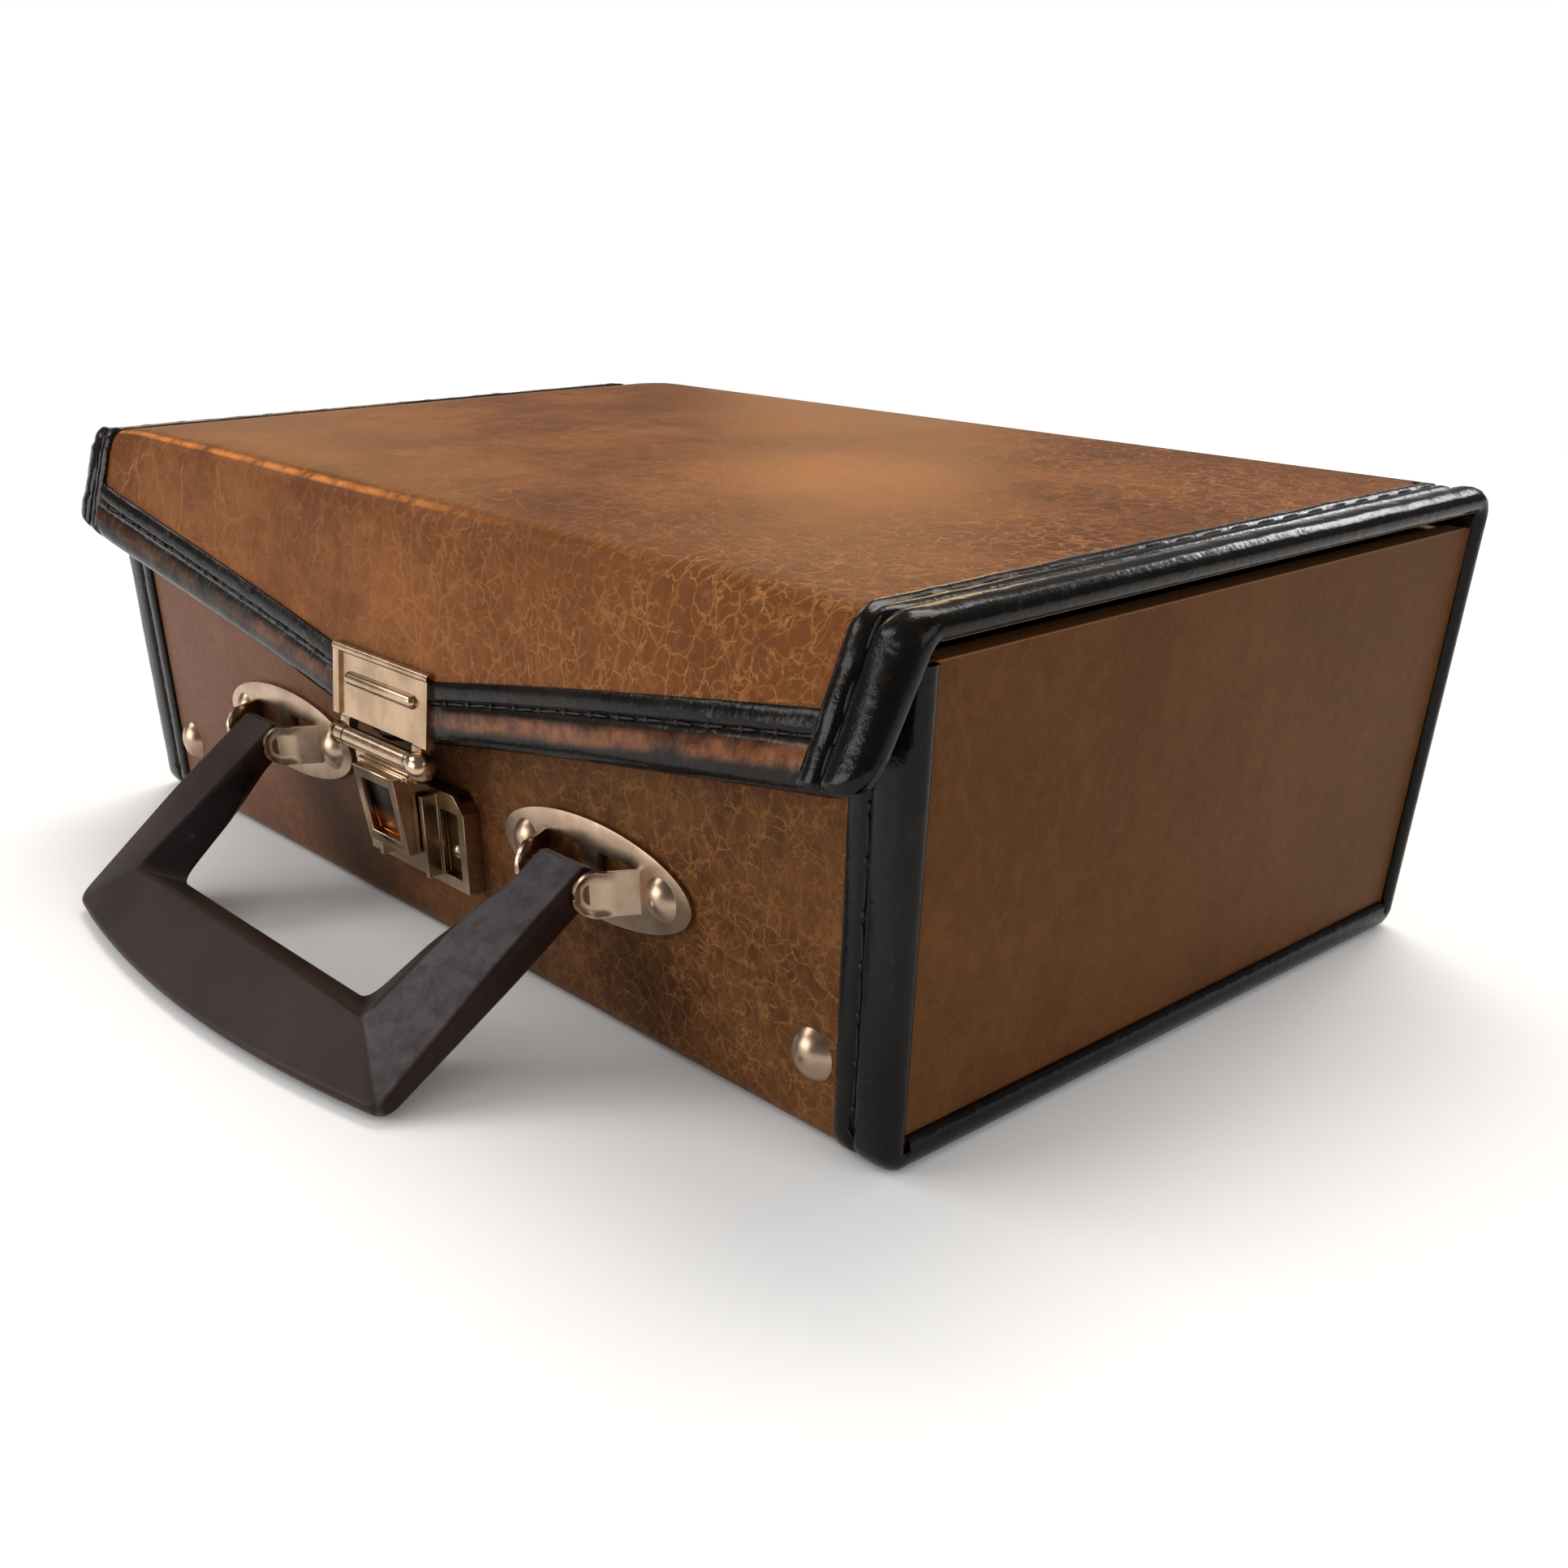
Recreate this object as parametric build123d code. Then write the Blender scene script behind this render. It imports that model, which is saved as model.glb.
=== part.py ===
from build123d import *
import math
import os

# Cassette tape case: a board case in brown vinyl with a hinged lid, a front flap, a snap hasp
# and a swinging plastic handle. Millimetres, +Z up, the handle side faces -Y.
# The origin is the middle of the flat underside of the body.

# ---- what the case holds: boxed cassettes standing on edge ------------------------------
box_length = 109.0
box_depth = 70.0
box_thickness = 17.0
slot_play = 0.8
slots_per_row = 7
headroom = 3.1

# ---- cassette tray ---------------------------------------------------------------------
tray_height = 47.0
tray_floor = 2.0
tray_wall = 1.5
tray_divider = 2.27
tray_ridge = 16.4
tray_ledge = 4.0
tray_rim = 0.8
tray_play_side = 0.5
tray_play_front = 1.39

# ---- body ------------------------------------------------------------------------------
board = 3.0
cover = 1.2
lining = 0.8
side_recess = 1.7
side_rim_drop = 0.0
bottom_edge_radius = 4.0
binding_width = 13.0
binding_proud = 0.8
binding_side_leg = 4.0
binding_bottom_leg = 5.9

# ---- lid -------------------------------------------------------------------------------
lid_rest_gap = 0.3
lid_padding = 3.2
lid_board = 1.8
lid_cover_skin = 1.0
lid_overhang = 2.1
lid_lining_margin = 14.0
lid_binding_skin = 0.8
lid_binding_proud = 0.9

# ---- flap ------------------------------------------------------------------------------
fold_reach = 2.4
fold_radius = 4.0
flap_board = 1.2
flap_lining_skin = 0.4
flap_top_gap = 1.6
flap_centre_drop = 44.1
flap_side_drop = 20.5
flap_lean_middle = 0.135
flap_lean_side = 0.52
flap_sections = 4
flap_binding_width = 11.5
glue_line = 0.03

# ---- hinge fold ------------------------------------------------------------------------
hinge_rise = 0.9
hinge_axis_out = 0.3
hinge_lap_body = 6.0
hinge_radius = 3.0
hinge_gap = 0.1

# ---- studs and rivets ------------------------------------------------------------------
stud_inset = 19.1
stud_height = 15.2
stud_head_radius = 4.7
stud_head_rise = 2.4
shank_radius = 1.6
small_shank_radius = 1.0
hole_play = 0.05
washer_radius = 4.2
washer = 0.7

# ---- handle brackets -------------------------------------------------------------------
bracket_inset = 74.6
pivot_height = 30.6
pivot_reach = 8.0
bracket_half_length = 27.0
bracket_half_height = 9.0
bracket_sheet = 1.0
bracket_rivet_offset = 19.3
bracket_rivet_radius = 4.3
bracket_rivet_rise = 2.2
backing_margin = 5.7
backing_height = 12.0
ear_fold = 14.6
ear_slot_inner = 2.5
ear_height = 8.0
ear_end_radius = 4.2
ear_tip_clearance = 0.4
ear_dish_radius = 6.0
ear_dish_depth = 0.3
ear_fold_thickening = 0.25
pivot_radius = 2.0
pivot_play = 0.05
pivot_depth = 3.0
pivot_end_play = 0.3

# ---- handle ----------------------------------------------------------------------------
arm_width = 13.7
arm_end_radius = 4.0
arm_end_trim = 6.0
arm_end_start = 0.6
arm_bend_reach = 18.0
arm_bend_half_width = 40.3
arm_bend_thickening = 1.4
handle_thin = 3.0
handle_thick = 5.1
handle_edge = 1.6
grip_inner = 36.6
grip_crest = 39.7
grip_corner_reach = 52.4
grip_bow = 5.7
grip_half_width = 61.8
opening_half_width = 37.1
crest_half_width = 46.2
handle_floor_gap = 0.3

# ---- hasp leaf on the flap, and its pin ------------------------------------------------
leaf_width = 34.0
leaf_height = 13.5
leaf_overhang = 0.7
leaf_sheet = 1.0
leaf_bead = 0.9
leaf_border = 2.2
leaf_border_rise = 0.6
leaf_rib_drop = 6.1
leaf_rib_half_length = 12.4
leaf_rib_radius = 1.3
leaf_rivet_spread = 9.0
leaf_rivet_drop = 2.8
leaf_rivet_radius = 1.9
leaf_rivet_rise = 0.7
leaf_pin_depth = 0.6
leaf_play = 0.4
leaf_backing_inset = 2.0
leaf_backing_half_height = 3.0
leaf_knuckle_length = 3.2
web_gap = 0.3
pin_drop = 3.6
pin_standoff = 1.26
hasp_pin_radius = 1.0
knuckle_radius = 2.0
knuckle_half_length = 11.2
knuckle_gap = 0.3
pin_head_radius = 2.3
pin_head_length = 2.4
pin_end_reach = 0.4

# ---- hasp ------------------------------------------------------------------------------
hasp_plate = 1.2
hasp_neck_step = 1.0
hasp_neck_ledge = 1.6
hasp_neck_overlap = 0.6
hasp_box_half_width = 7.5
hasp_box_drop = 4.0
hasp_box_length = 15.6
hasp_box_forward_top = 2.4
hasp_box_forward_bottom = 0.3
hasp_wall = 1.1
hasp_window_margin = 2.2
hasp_window_depth = 1.6
plate_gap = 0.05

# ---- latch base plate and catch --------------------------------------------------------
base_half_width = 18.4
base_drop = 6.8
base_height = 19.4
base_rise = 3.9
base_corner = 3.2
base_border = 2.2
base_field_depth = 1.5
base_field_drop = 3.6
base_field_margin = 2.4
cheek_play = 0.6
cheek_wall = 1.2
cheek_rise = 3.3
cheek_inset_top = 1.0
cheek_inset_bottom = 1.8
catch_half_width = 3.0
catch_drop = 14.0
catch_rise = 2.7
catch_sheet = 1.2
catch_bead = 0.9
base_rivet_spread = 12.9
base_rivet_rise = 7.2
base_rivet_radius = 1.6
base_rivet_head = 0.7
base_backing_inset = 1.0
base_backing_half_height = 5.0

# ---- worked out from the above ---------------------------------------------------------
slot_length = box_length + 2 * slot_play
slot_width = box_thickness + slot_play
slot_pitch = slot_width + tray_divider
slot_inner = tray_ridge / 2
slot_outer = slot_inner + slot_length
tray_half_width = slot_outer + tray_ledge
tray_half_depth = (slots_per_row * slot_width + (slots_per_row - 1) * tray_divider) / 2 + tray_wall

side_lining_in = tray_half_width + tray_play_side
side_board_in = side_lining_in + lining
side_board_out = side_board_in + board
side_cover_out = side_board_out + cover
half_width = side_cover_out + side_recess
lining_in = tray_half_depth + tray_play_front
board_in = lining_in + lining
board_out = board_in + board
half_depth = board_out + cover
front_face = -half_depth
floor_top = cover + board
lining_top = floor_top + lining
body_height = lining_top + tray_floor + box_depth + headroom
side_rim_height = body_height - side_rim_drop
binding_start = half_width - binding_width

lid_board_bottom = body_height + lid_rest_gap + lid_padding
lid_board_top = lid_board_bottom + lid_board
lid_top_height = lid_board_top + lid_cover_skin
lid_half_width = half_width + lid_overhang
lid_board_half_width = lid_half_width - lid_binding_skin
lid_binding_start = lid_half_width - binding_width
lid_end = board_out - hinge_radius
hinge_axis_height = body_height + hinge_rise
hinge_body_edge = body_height - hinge_lap_body
flap_thickness = lid_cover_skin + flap_board + flap_lining_skin
flap_lean_flat = leaf_width / 2
fold_turn = math.pi / 2 - math.atan(flap_lean_middle)
fold_back = front_face - fold_reach + fold_radius * math.tan(fold_turn / 2)

stud_spread = half_width - stud_inset
bracket_spread = half_width - bracket_inset
handle_drop = pivot_height - handle_floor_gap - handle_edge * 0.85
handle_tilt = math.degrees(math.asin(handle_drop / grip_corner_reach))

leaf_bottom = lid_top_height - flap_centre_drop
leaf_bottom += (flap_centre_drop - flap_side_drop) * flap_lean_flat / lid_half_width - leaf_overhang
leaf_top = leaf_bottom + leaf_height
hasp_pin_height = leaf_bottom - pin_drop
hasp_pin_reach = fold_reach + flap_lean_middle * (lid_top_height - hasp_pin_height) + pin_standoff
hasp_box_top = hasp_pin_height - hasp_box_drop
hasp_box_bottom = hasp_box_top - hasp_box_length
hasp_box_reach_top = hasp_pin_reach + hasp_box_forward_top
hasp_box_reach_bottom = hasp_pin_reach + hasp_box_forward_bottom
base_top = hasp_pin_height - base_drop
base_bottom = base_top - base_height
base_field_top = base_top - base_field_drop
base_field_bottom = base_bottom + base_field_margin
base_field_outer = base_half_width - base_border
cheek_inner = hasp_box_half_width + cheek_play
cheek_outer = cheek_inner + cheek_wall
base_field_inner = cheek_outer + cheek_play
cheek_top = base_top - cheek_inset_top
cheek_bottom = base_bottom + cheek_inset_bottom
cheek_reach = base_rise + cheek_rise
catch_height = hasp_pin_height - catch_drop
catch_reach = base_rise + catch_rise
base_rivet_height = base_bottom + base_rivet_rise

made = []


def keep(shape, node):
    """Name one piece for its file."""
    shape.label = node
    made.append((node, shape))


def yz_face(x, points):
    return Plane.YZ.offset(x) * make_face(Polyline(*points, close=True))


def yz_prism(x0, x1, points):
    return extrude(yz_face(x0, points), amount=x1 - x0)


def block(x0, x1, y0, y1, z0, z1):
    return Pos((x0 + x1) / 2, (y0 + y1) / 2, (z0 + z1) / 2) * Box(x1 - x0, y1 - y0, z1 - z0)


def dome(radius, rise):
    """A low spherical cap standing on the XY plane."""
    ball = (radius * radius + rise * rise) / (2 * rise)
    cap = Pos(0, 0, rise - ball) * Sphere(ball)
    return cap & Pos(0, 0, rise / 2) * Box(4 * radius, 4 * radius, rise)


def rod(radius, x, z, y0, y1):
    """A round bar along Y."""
    return Pos(x, (y0 + y1) / 2, z) * Rot(90, 0, 0) * Cylinder(radius, abs(y1 - y0))


def cross_rod(radius, y, z, x0, x1):
    """A round bar along X."""
    return Pos((x0 + x1) / 2, y, z) * Rot(0, 90, 0) * Cylinder(radius, abs(x1 - x0))


def mirrored(shape):
    return mirror(shape, about=Plane.YZ)


# ---- body boards -----------------------------------------------------------------------
def u_outline(out, low, top):
    """The front, bottom and back outline seen from the side, with rounded lower edges."""
    r = bottom_edge_radius - (half_depth - out)
    turn = 0.7071 * r
    line = Polyline((-out, top), (-out, low + r))
    line += ThreePointArc((-out, low + r), (-out + r - turn, low + r - turn), (-out + r, low))
    line += Line((-out + r, low), (out - r, low))
    line += ThreePointArc((out - r, low), (out - r + turn, low + r - turn), (out, low + r))
    line += Polyline((out, low + r), (out, top), (-out, top))
    return make_face(line)


def side_slab(face, x0, x1):
    return extrude(Plane.YZ.offset(x0) * face, amount=x1 - x0)


def body_boards():
    bottom = side_slab(u_outline(board_out, cover, floor_top), -side_board_out, side_board_out)
    keep(bottom, "bottom_board")
    top = body_height - cover
    front = block(-side_board_out, side_board_out, -board_out, -board_in, floor_top, top)
    holes = []
    for side in (-1, 1):
        holes.append((side * stud_spread, stud_height, shank_radius))
        for step in (-1, 1):
            x = side * bracket_spread + step * bracket_rivet_offset
            holes.append((x, pivot_height, shank_radius))
        holes.append((side * base_rivet_spread, base_rivet_height, small_shank_radius))
    for x, z, radius in holes:
        front -= rod(radius + hole_play, x, z, -board_out - 1, -board_in + 1)
    keep(front, "front_board")
    back = block(-side_board_out, side_board_out, board_in, board_out, floor_top, top)
    keep(back, "back_board")
    side_top = side_rim_height - cover
    right = block(side_board_in, side_board_out, -board_in, board_in, floor_top, side_top)
    keep(right, "right_side_board")
    keep(mirrored(right), "left_side_board")


def body_cover():
    """One strip of vinyl: up the front, under the bottom, up the back and over both rims."""
    skin = side_slab(u_outline(half_depth, 0, body_height), -binding_start, binding_start)
    skin -= side_slab(u_outline(board_out, cover, body_height + 1), -binding_start - 1, binding_start + 1)
    cap_low = body_height - cover
    skin += block(-binding_start, binding_start, -board_out, -lining_in, cap_low, body_height)
    skin -= block(-binding_start - 1, binding_start + 1, board_out, half_depth + 1,
                  hinge_body_edge, body_height + 1)
    holes = []
    for side in (-1, 1):
        holes.append((side * stud_spread, stud_height, shank_radius))
        for step in (-1, 1):
            x = side * bracket_spread + step * bracket_rivet_offset
            holes.append((x, pivot_height, shank_radius))
        holes.append((side * base_rivet_spread, base_rivet_height, small_shank_radius))
    for x, z, radius in holes:
        skin -= rod(radius + hole_play, x, z, -half_depth - 1, -board_out + 1)
    keep(skin, "body_cover")


def side_covers():
    """Vinyl on each recessed side, over the boards' ends and folded over the side board's top edge."""
    front = board_in - lining
    skin = side_slab(u_outline(board_out, cover, side_rim_height), side_board_out, side_cover_out)
    skin += block(side_board_in, side_board_out, -front, front, side_rim_height - cover, side_rim_height)
    keep(skin, "right_side_cover")
    keep(mirrored(skin), "left_side_cover")


def body_bindings():
    """A strip sewn on the side edges of the front, bottom and back and folded over onto the side."""
    top = body_height
    proud = half_depth + binding_proud
    outer = u_outline(proud, 0, top)
    strip = side_slab(outer, binding_start, half_width)
    strip -= side_slab(u_outline(board_out, cover, top + 1), binding_start - 1, side_cover_out)
    opening = proud - binding_side_leg
    strip -= block(side_cover_out - 1, half_width + 1, -opening, opening, binding_bottom_leg, top + 1)
    keep(strip, "right_body_binding")
    keep(mirrored(strip), "left_body_binding")


def body_lining():
    """Flocked paper glued inside the boards."""
    top = body_height - cover
    side_top = side_rim_height - cover
    shell = block(-side_board_in, side_board_in, -board_in, board_in, floor_top, top)
    shell -= block(-side_lining_in, side_lining_in, -lining_in, lining_in, lining_top, top + 1)
    for side in (-1, 1):
        inner = side * side_lining_in
        outer = side * (side_board_in + 1)
        shell -= block(min(inner, outer), max(inner, outer), -lining_in, lining_in, side_top, top + 1)
    for side in (-1, 1):
        shell -= rod(shank_radius + hole_play, side * stud_spread, stud_height, -half_depth, 0)
        shell -= rod(small_shank_radius + hole_play, side * base_rivet_spread, base_rivet_height,
                     -half_depth, 0)
        for step in (-1, 1):
            x = side * bracket_spread + step * bracket_rivet_offset
            shell -= rod(shank_radius + hole_play, x, pivot_height, -half_depth, 0)
    keep(shell, "body_lining")


# ---- cassette tray ---------------------------------------------------------------------
def slot_middles():
    first = -tray_half_depth + tray_wall + slot_width / 2
    return [first + slot_pitch * i for i in range(slots_per_row)]


def cassette_tray():
    """A formed tray with two long wells; the ledges round them are hollow underneath."""
    low = lining_top
    top = low + tray_height
    tray = block(-tray_half_width, tray_half_width, -tray_half_depth, tray_half_depth, low, top)
    floor = low + tray_floor
    well_end = tray_half_depth - tray_wall
    for side in (-1, 1):
        x0 = min(side * slot_inner, side * slot_outer)
        x1 = max(side * slot_inner, side * slot_outer)
        tray -= block(x0, x1, -well_end, well_end, floor, top + 1)
    tray -= block(-slot_inner + tray_wall, slot_inner - tray_wall, -well_end, well_end, low - 1, top - tray_wall)
    for side in (-1, 1):
        x0 = side * (slot_outer + tray_wall)
        x1 = side * (tray_half_width - tray_rim)
        tray -= block(min(x0, x1), max(x0, x1), -well_end, well_end, low - 1, top - tray_wall)
    keep(tray, "cassette_tray")


def tray_dividers():
    """Upright strips that part each well into slots for boxed cassettes."""
    floor = lining_top + tray_floor
    middles = slot_middles()
    right = []
    for first, second in zip(middles, middles[1:]):
        right.append(block(slot_inner, slot_outer, first + slot_width / 2, second - slot_width / 2,
                           floor, lining_top + tray_height))
    keep(Compound(children=right), "right_tray_dividers")
    keep(Compound(children=[mirrored(strip) for strip in right]), "left_tray_dividers")


# ---- studs, rivets and washers ---------------------------------------------------------
def front_fastener(x, z, seat, radius, rise, shank, inner_end):
    """A domed rivet whose head sits on the plane y = seat and faces -Y."""
    head = Pos(x, seat, z) * Rot(90, 0, 0) * dome(radius, rise)
    return head + rod(shank, x, z, seat, inner_end)


def ring(x, z, y0, y1, radius, bore):
    return rod(radius, x, z, y0, y1) - rod(bore, x, z, y0 - 1, y1 + 1)


def studs():
    inner = -lining_in + washer
    front = Compound(children=[front_fastener(side * stud_spread, stud_height, front_face, stud_head_radius,
                                              stud_head_rise, shank_radius, inner) for side in (-1, 1)])
    keep(front, "front_studs")
    rings = []
    for side in (-1, 1):
        rings.append(ring(side * stud_spread, stud_height, -lining_in, inner, washer_radius,
                          shank_radius + hole_play))
    keep(Compound(children=rings), "stud_washers")


# ---- handle brackets -------------------------------------------------------------------
def bracket_ear():
    """One folded ear, slanting from its fold towards the handle's arm (right-hand ear)."""
    reach = pivot_reach - bracket_sheet
    tip_x = arm_width / 2 + ear_tip_clearance + bracket_sheet / 2
    # the ear's centre line runs from the fold to the tip; its slope puts the tip beside the arm
    run = reach + ear_end_radius
    slope = math.atan2(ear_fold - bracket_sheet / 2 - tip_x, run)
    pivot_along = reach / math.cos(slope)
    flat = Pos(pivot_along / 2, 0) * Rectangle(pivot_along, ear_height)
    flat += Pos(pivot_along, 0) * Circle(ear_end_radius)
    plate = extrude(flat, amount=bracket_sheet / 2, both=True)
    dish_middle = ear_dish_radius + bracket_sheet / 2 - ear_dish_depth
    dish = Pos(pivot_along, 0, dish_middle) * Sphere(ear_dish_radius)
    plate -= dish
    # local X runs along the ear, local Z is its outer face
    ear_plane = Plane(origin=(ear_fold - bracket_sheet / 2, front_face - bracket_sheet * 0.5, 0),
                      x_dir=(-math.sin(slope), -math.cos(slope), 0),
                      z_dir=(math.cos(slope), -math.sin(slope), 0))
    ear = ear_plane * plate
    thick = ear_fold_thickening
    ear += block(ear_fold - bracket_sheet - thick, ear_fold + thick, front_face - bracket_sheet - thick, front_face,
                 -ear_height / 2, ear_height / 2)
    pin_y = front_face - pivot_reach
    pin_x = ear_fold - bracket_sheet / 2 - math.sin(slope) * pivot_along
    ear += cross_rod(pivot_radius, pin_y, 0, arm_width / 2 - pivot_depth, pin_x)
    return ear


def handle_bracket(side):
    plate_face = Ellipse(bracket_half_length, bracket_half_height)
    plate = Pos(0, front_face, 0) * Rot(90, 0, 0) * extrude(plate_face, amount=bracket_sheet)
    for step in (-1, 1):
        x0 = min(step * ear_slot_inner, step * (ear_fold - bracket_sheet))
        x1 = max(step * ear_slot_inner, step * (ear_fold - bracket_sheet))
        plate -= block(x0, x1, front_face - bracket_sheet - 1, front_face + 1, -ear_height / 2, ear_height / 2)
        plate -= rod(shank_radius + hole_play, step * bracket_rivet_offset, 0,
                     front_face - bracket_sheet - 1, front_face + 1)
    ear = bracket_ear()
    bracket = plate + ear + mirrored(ear)
    return Pos(side * bracket_spread, 0, pivot_height) * bracket


def brackets():
    rivets = []
    for side, name in ((-1, "left"), (1, "right")):
        keep(handle_bracket(side), name + "_handle_bracket")
        x = side * bracket_spread
        backing_half = bracket_rivet_offset + backing_margin
        plate = block(x - backing_half, x + backing_half, -lining_in, -lining_in + washer,
                      pivot_height - backing_height / 2, pivot_height + backing_height / 2)
        for step in (-1, 1):
            rx = x + step * bracket_rivet_offset
            plate -= rod(shank_radius + hole_play, rx, pivot_height, -lining_in - 1, -lining_in + washer + 1)
            rivets.append(front_fastener(rx, pivot_height, front_face - bracket_sheet, bracket_rivet_radius,
                                         bracket_rivet_rise, shank_radius, -lining_in + washer))
        keep(plate, name + "_bracket_backing")
    keep(Compound(children=rivets), "bracket_rivets")


# ---- handle ----------------------------------------------------------------------------
def handle_section(inner, crest, outer, middle_reach, crest_reach, outer_reach, crest_v, outer_v, lift=0.0):
    """Five corners of one section, each as (x, reach, v) before the handle is tilted."""
    return [(inner, middle_reach, 0), (crest, crest_reach, crest_v), (outer, outer_reach, lift + outer_v),
            (outer, outer_reach, lift - outer_v), (crest, crest_reach, -crest_v)]


def edge_lift(bow):
    """The bowed edge bends up a little, so that all of it lies on the table."""
    return bow * math.tan(math.radians(handle_tilt))


def handle_sections():
    arm_in = bracket_spread - arm_width / 2
    arm_out = bracket_spread + arm_width / 2
    half = []
    start = arm_end_radius + 1.5
    half.append(handle_section(arm_in, arm_in, arm_out, -arm_end_radius, -arm_end_radius, -arm_end_radius,
                               handle_thin, handle_thin))
    half.append(handle_section(arm_in, arm_in, arm_out, start, start, start, handle_thin, handle_thin))
    bend_crest = crest_half_width + 1.2
    half.append(handle_section(arm_bend_half_width, bend_crest, arm_out, arm_bend_reach, arm_bend_reach,
                               arm_bend_reach, handle_thin + arm_bend_thickening, handle_thin))
    half.append(handle_section(opening_half_width, crest_half_width, grip_half_width, grip_inner,
                               grip_crest + 1.2, grip_corner_reach, handle_thick, handle_edge))
    for part in (2, 1):
        x = grip_half_width * part / 3
        bow = grip_bow * (1 - (part / 3) ** 2)
        half.append(handle_section(x * opening_half_width / grip_half_width,
                                   x * crest_half_width / grip_half_width, x, grip_inner,
                                   grip_crest, grip_corner_reach + bow, handle_thick, handle_edge,
                                   edge_lift(bow)))
    middle = [handle_section(0, 0, 0, grip_inner, grip_crest, grip_corner_reach + grip_bow, handle_thick,
                             handle_edge, edge_lift(grip_bow))]
    other = [[(-x, u, v) for x, u, v in section] for section in reversed(half)]
    return half + middle + other


def section_face(section):
    wire = Polyline(*[(x, -u, v) for x, u, v in section], close=True)
    return make_face(wire)


def handle():
    """A moulded grip on two arms, in one piece, hanging forward until its edge meets the table."""
    body = None
    sections = handle_sections()
    for i in range(len(sections) - 1):
        piece = handle_span(sections[i], sections[i + 1])
        body = piece if body is None else body + piece
    arm_hole = pivot_radius + pivot_play
    for side in (-1, 1):
        x = side * bracket_spread
        for step in (-1, 1):
            face_x = x + step * arm_width / 2
            body -= cross_rod(arm_hole, 0, 0, face_x + step * 1.0, face_x - step * (pivot_depth + pivot_end_play))
        corner = block(x - arm_width, x + arm_width, 0, arm_end_trim, -handle_thick, handle_thick)
        corner -= cross_rod(handle_thin + arm_end_start, arm_end_start, 0, x - arm_width - 1, x + arm_width + 1)
        corner &= block(x - arm_width, x + arm_width, arm_end_start, arm_end_trim, -handle_thick, handle_thick)
        body -= corner
    tilted = Rot(handle_tilt, 0, 0) * body
    keep(Pos(0, front_face - pivot_reach, pivot_height) * tilted, "handle")


def handle_span(a, b):
    """The solid between two five-sided sections, closed with flat triangles."""
    pa = [(x, -u, v) for x, u, v in a]
    pb = [(x, -u, v) for x, u, v in b]
    faces = []
    count = len(pa)
    for i in range(count):
        j = (i + 1) % count
        faces.append(triangle(pa[i], pa[j], pb[j]))
        faces.append(triangle(pa[i], pb[j], pb[i]))
    for i in range(1, count - 1):
        faces.append(triangle(pa[0], pa[i], pa[i + 1]))
        faces.append(triangle(pb[0], pb[i], pb[i + 1]))
    return Solid(Shell(faces))


def triangle(a, b, c):
    return Face(Wire.make_polygon([Vector(*a), Vector(*b), Vector(*c)], close=True))


# ---- hasp leaf, pin, hasp, base and catch ----------------------------------------------
def tilt_with_flap(shape):
    """Lean a piece drawn upright so that it lies on the middle of the flap."""
    lean = math.degrees(math.atan(flap_lean_middle))
    y, z = hasp_axis()
    return Pos(0, y, z) * Rot(-lean, 0, 0) * Pos(0, -y, -z) * shape


def hasp_axis():
    return front_face - hasp_pin_reach, hasp_pin_height


def leaf_seat():
    """Where the leaf's back lies before it is leaned, so that it ends up on the flap."""
    y, z = hasp_axis()
    lean = math.atan(flap_lean_middle)
    flap_y = flap_outer(0, z)
    return y + (flap_y - y) * math.cos(lean)


def upright_height(z):
    """The height, before leaning, of a point that ends at height z on the flap."""
    lean = math.atan(flap_lean_middle)
    return hasp_pin_height + (z - hasp_pin_height) / math.cos(lean)


def flap_lean(x):
    span = lid_half_width - flap_lean_flat
    part = max(0.0, abs(x) - flap_lean_flat) / span
    return flap_lean_middle + (flap_lean_side - flap_lean_middle) * part ** 2


def flap_outer(x, z):
    """The y of the flap's outer face."""
    return front_face - fold_reach - flap_lean(x) * (lid_top_height - z)


def flap_low(x):
    """The height of the flap's lower edge: straight from each corner to the middle."""
    part = abs(x) / lid_half_width
    return lid_top_height - flap_centre_drop + (flap_centre_drop - flap_side_drop) * part


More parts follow.
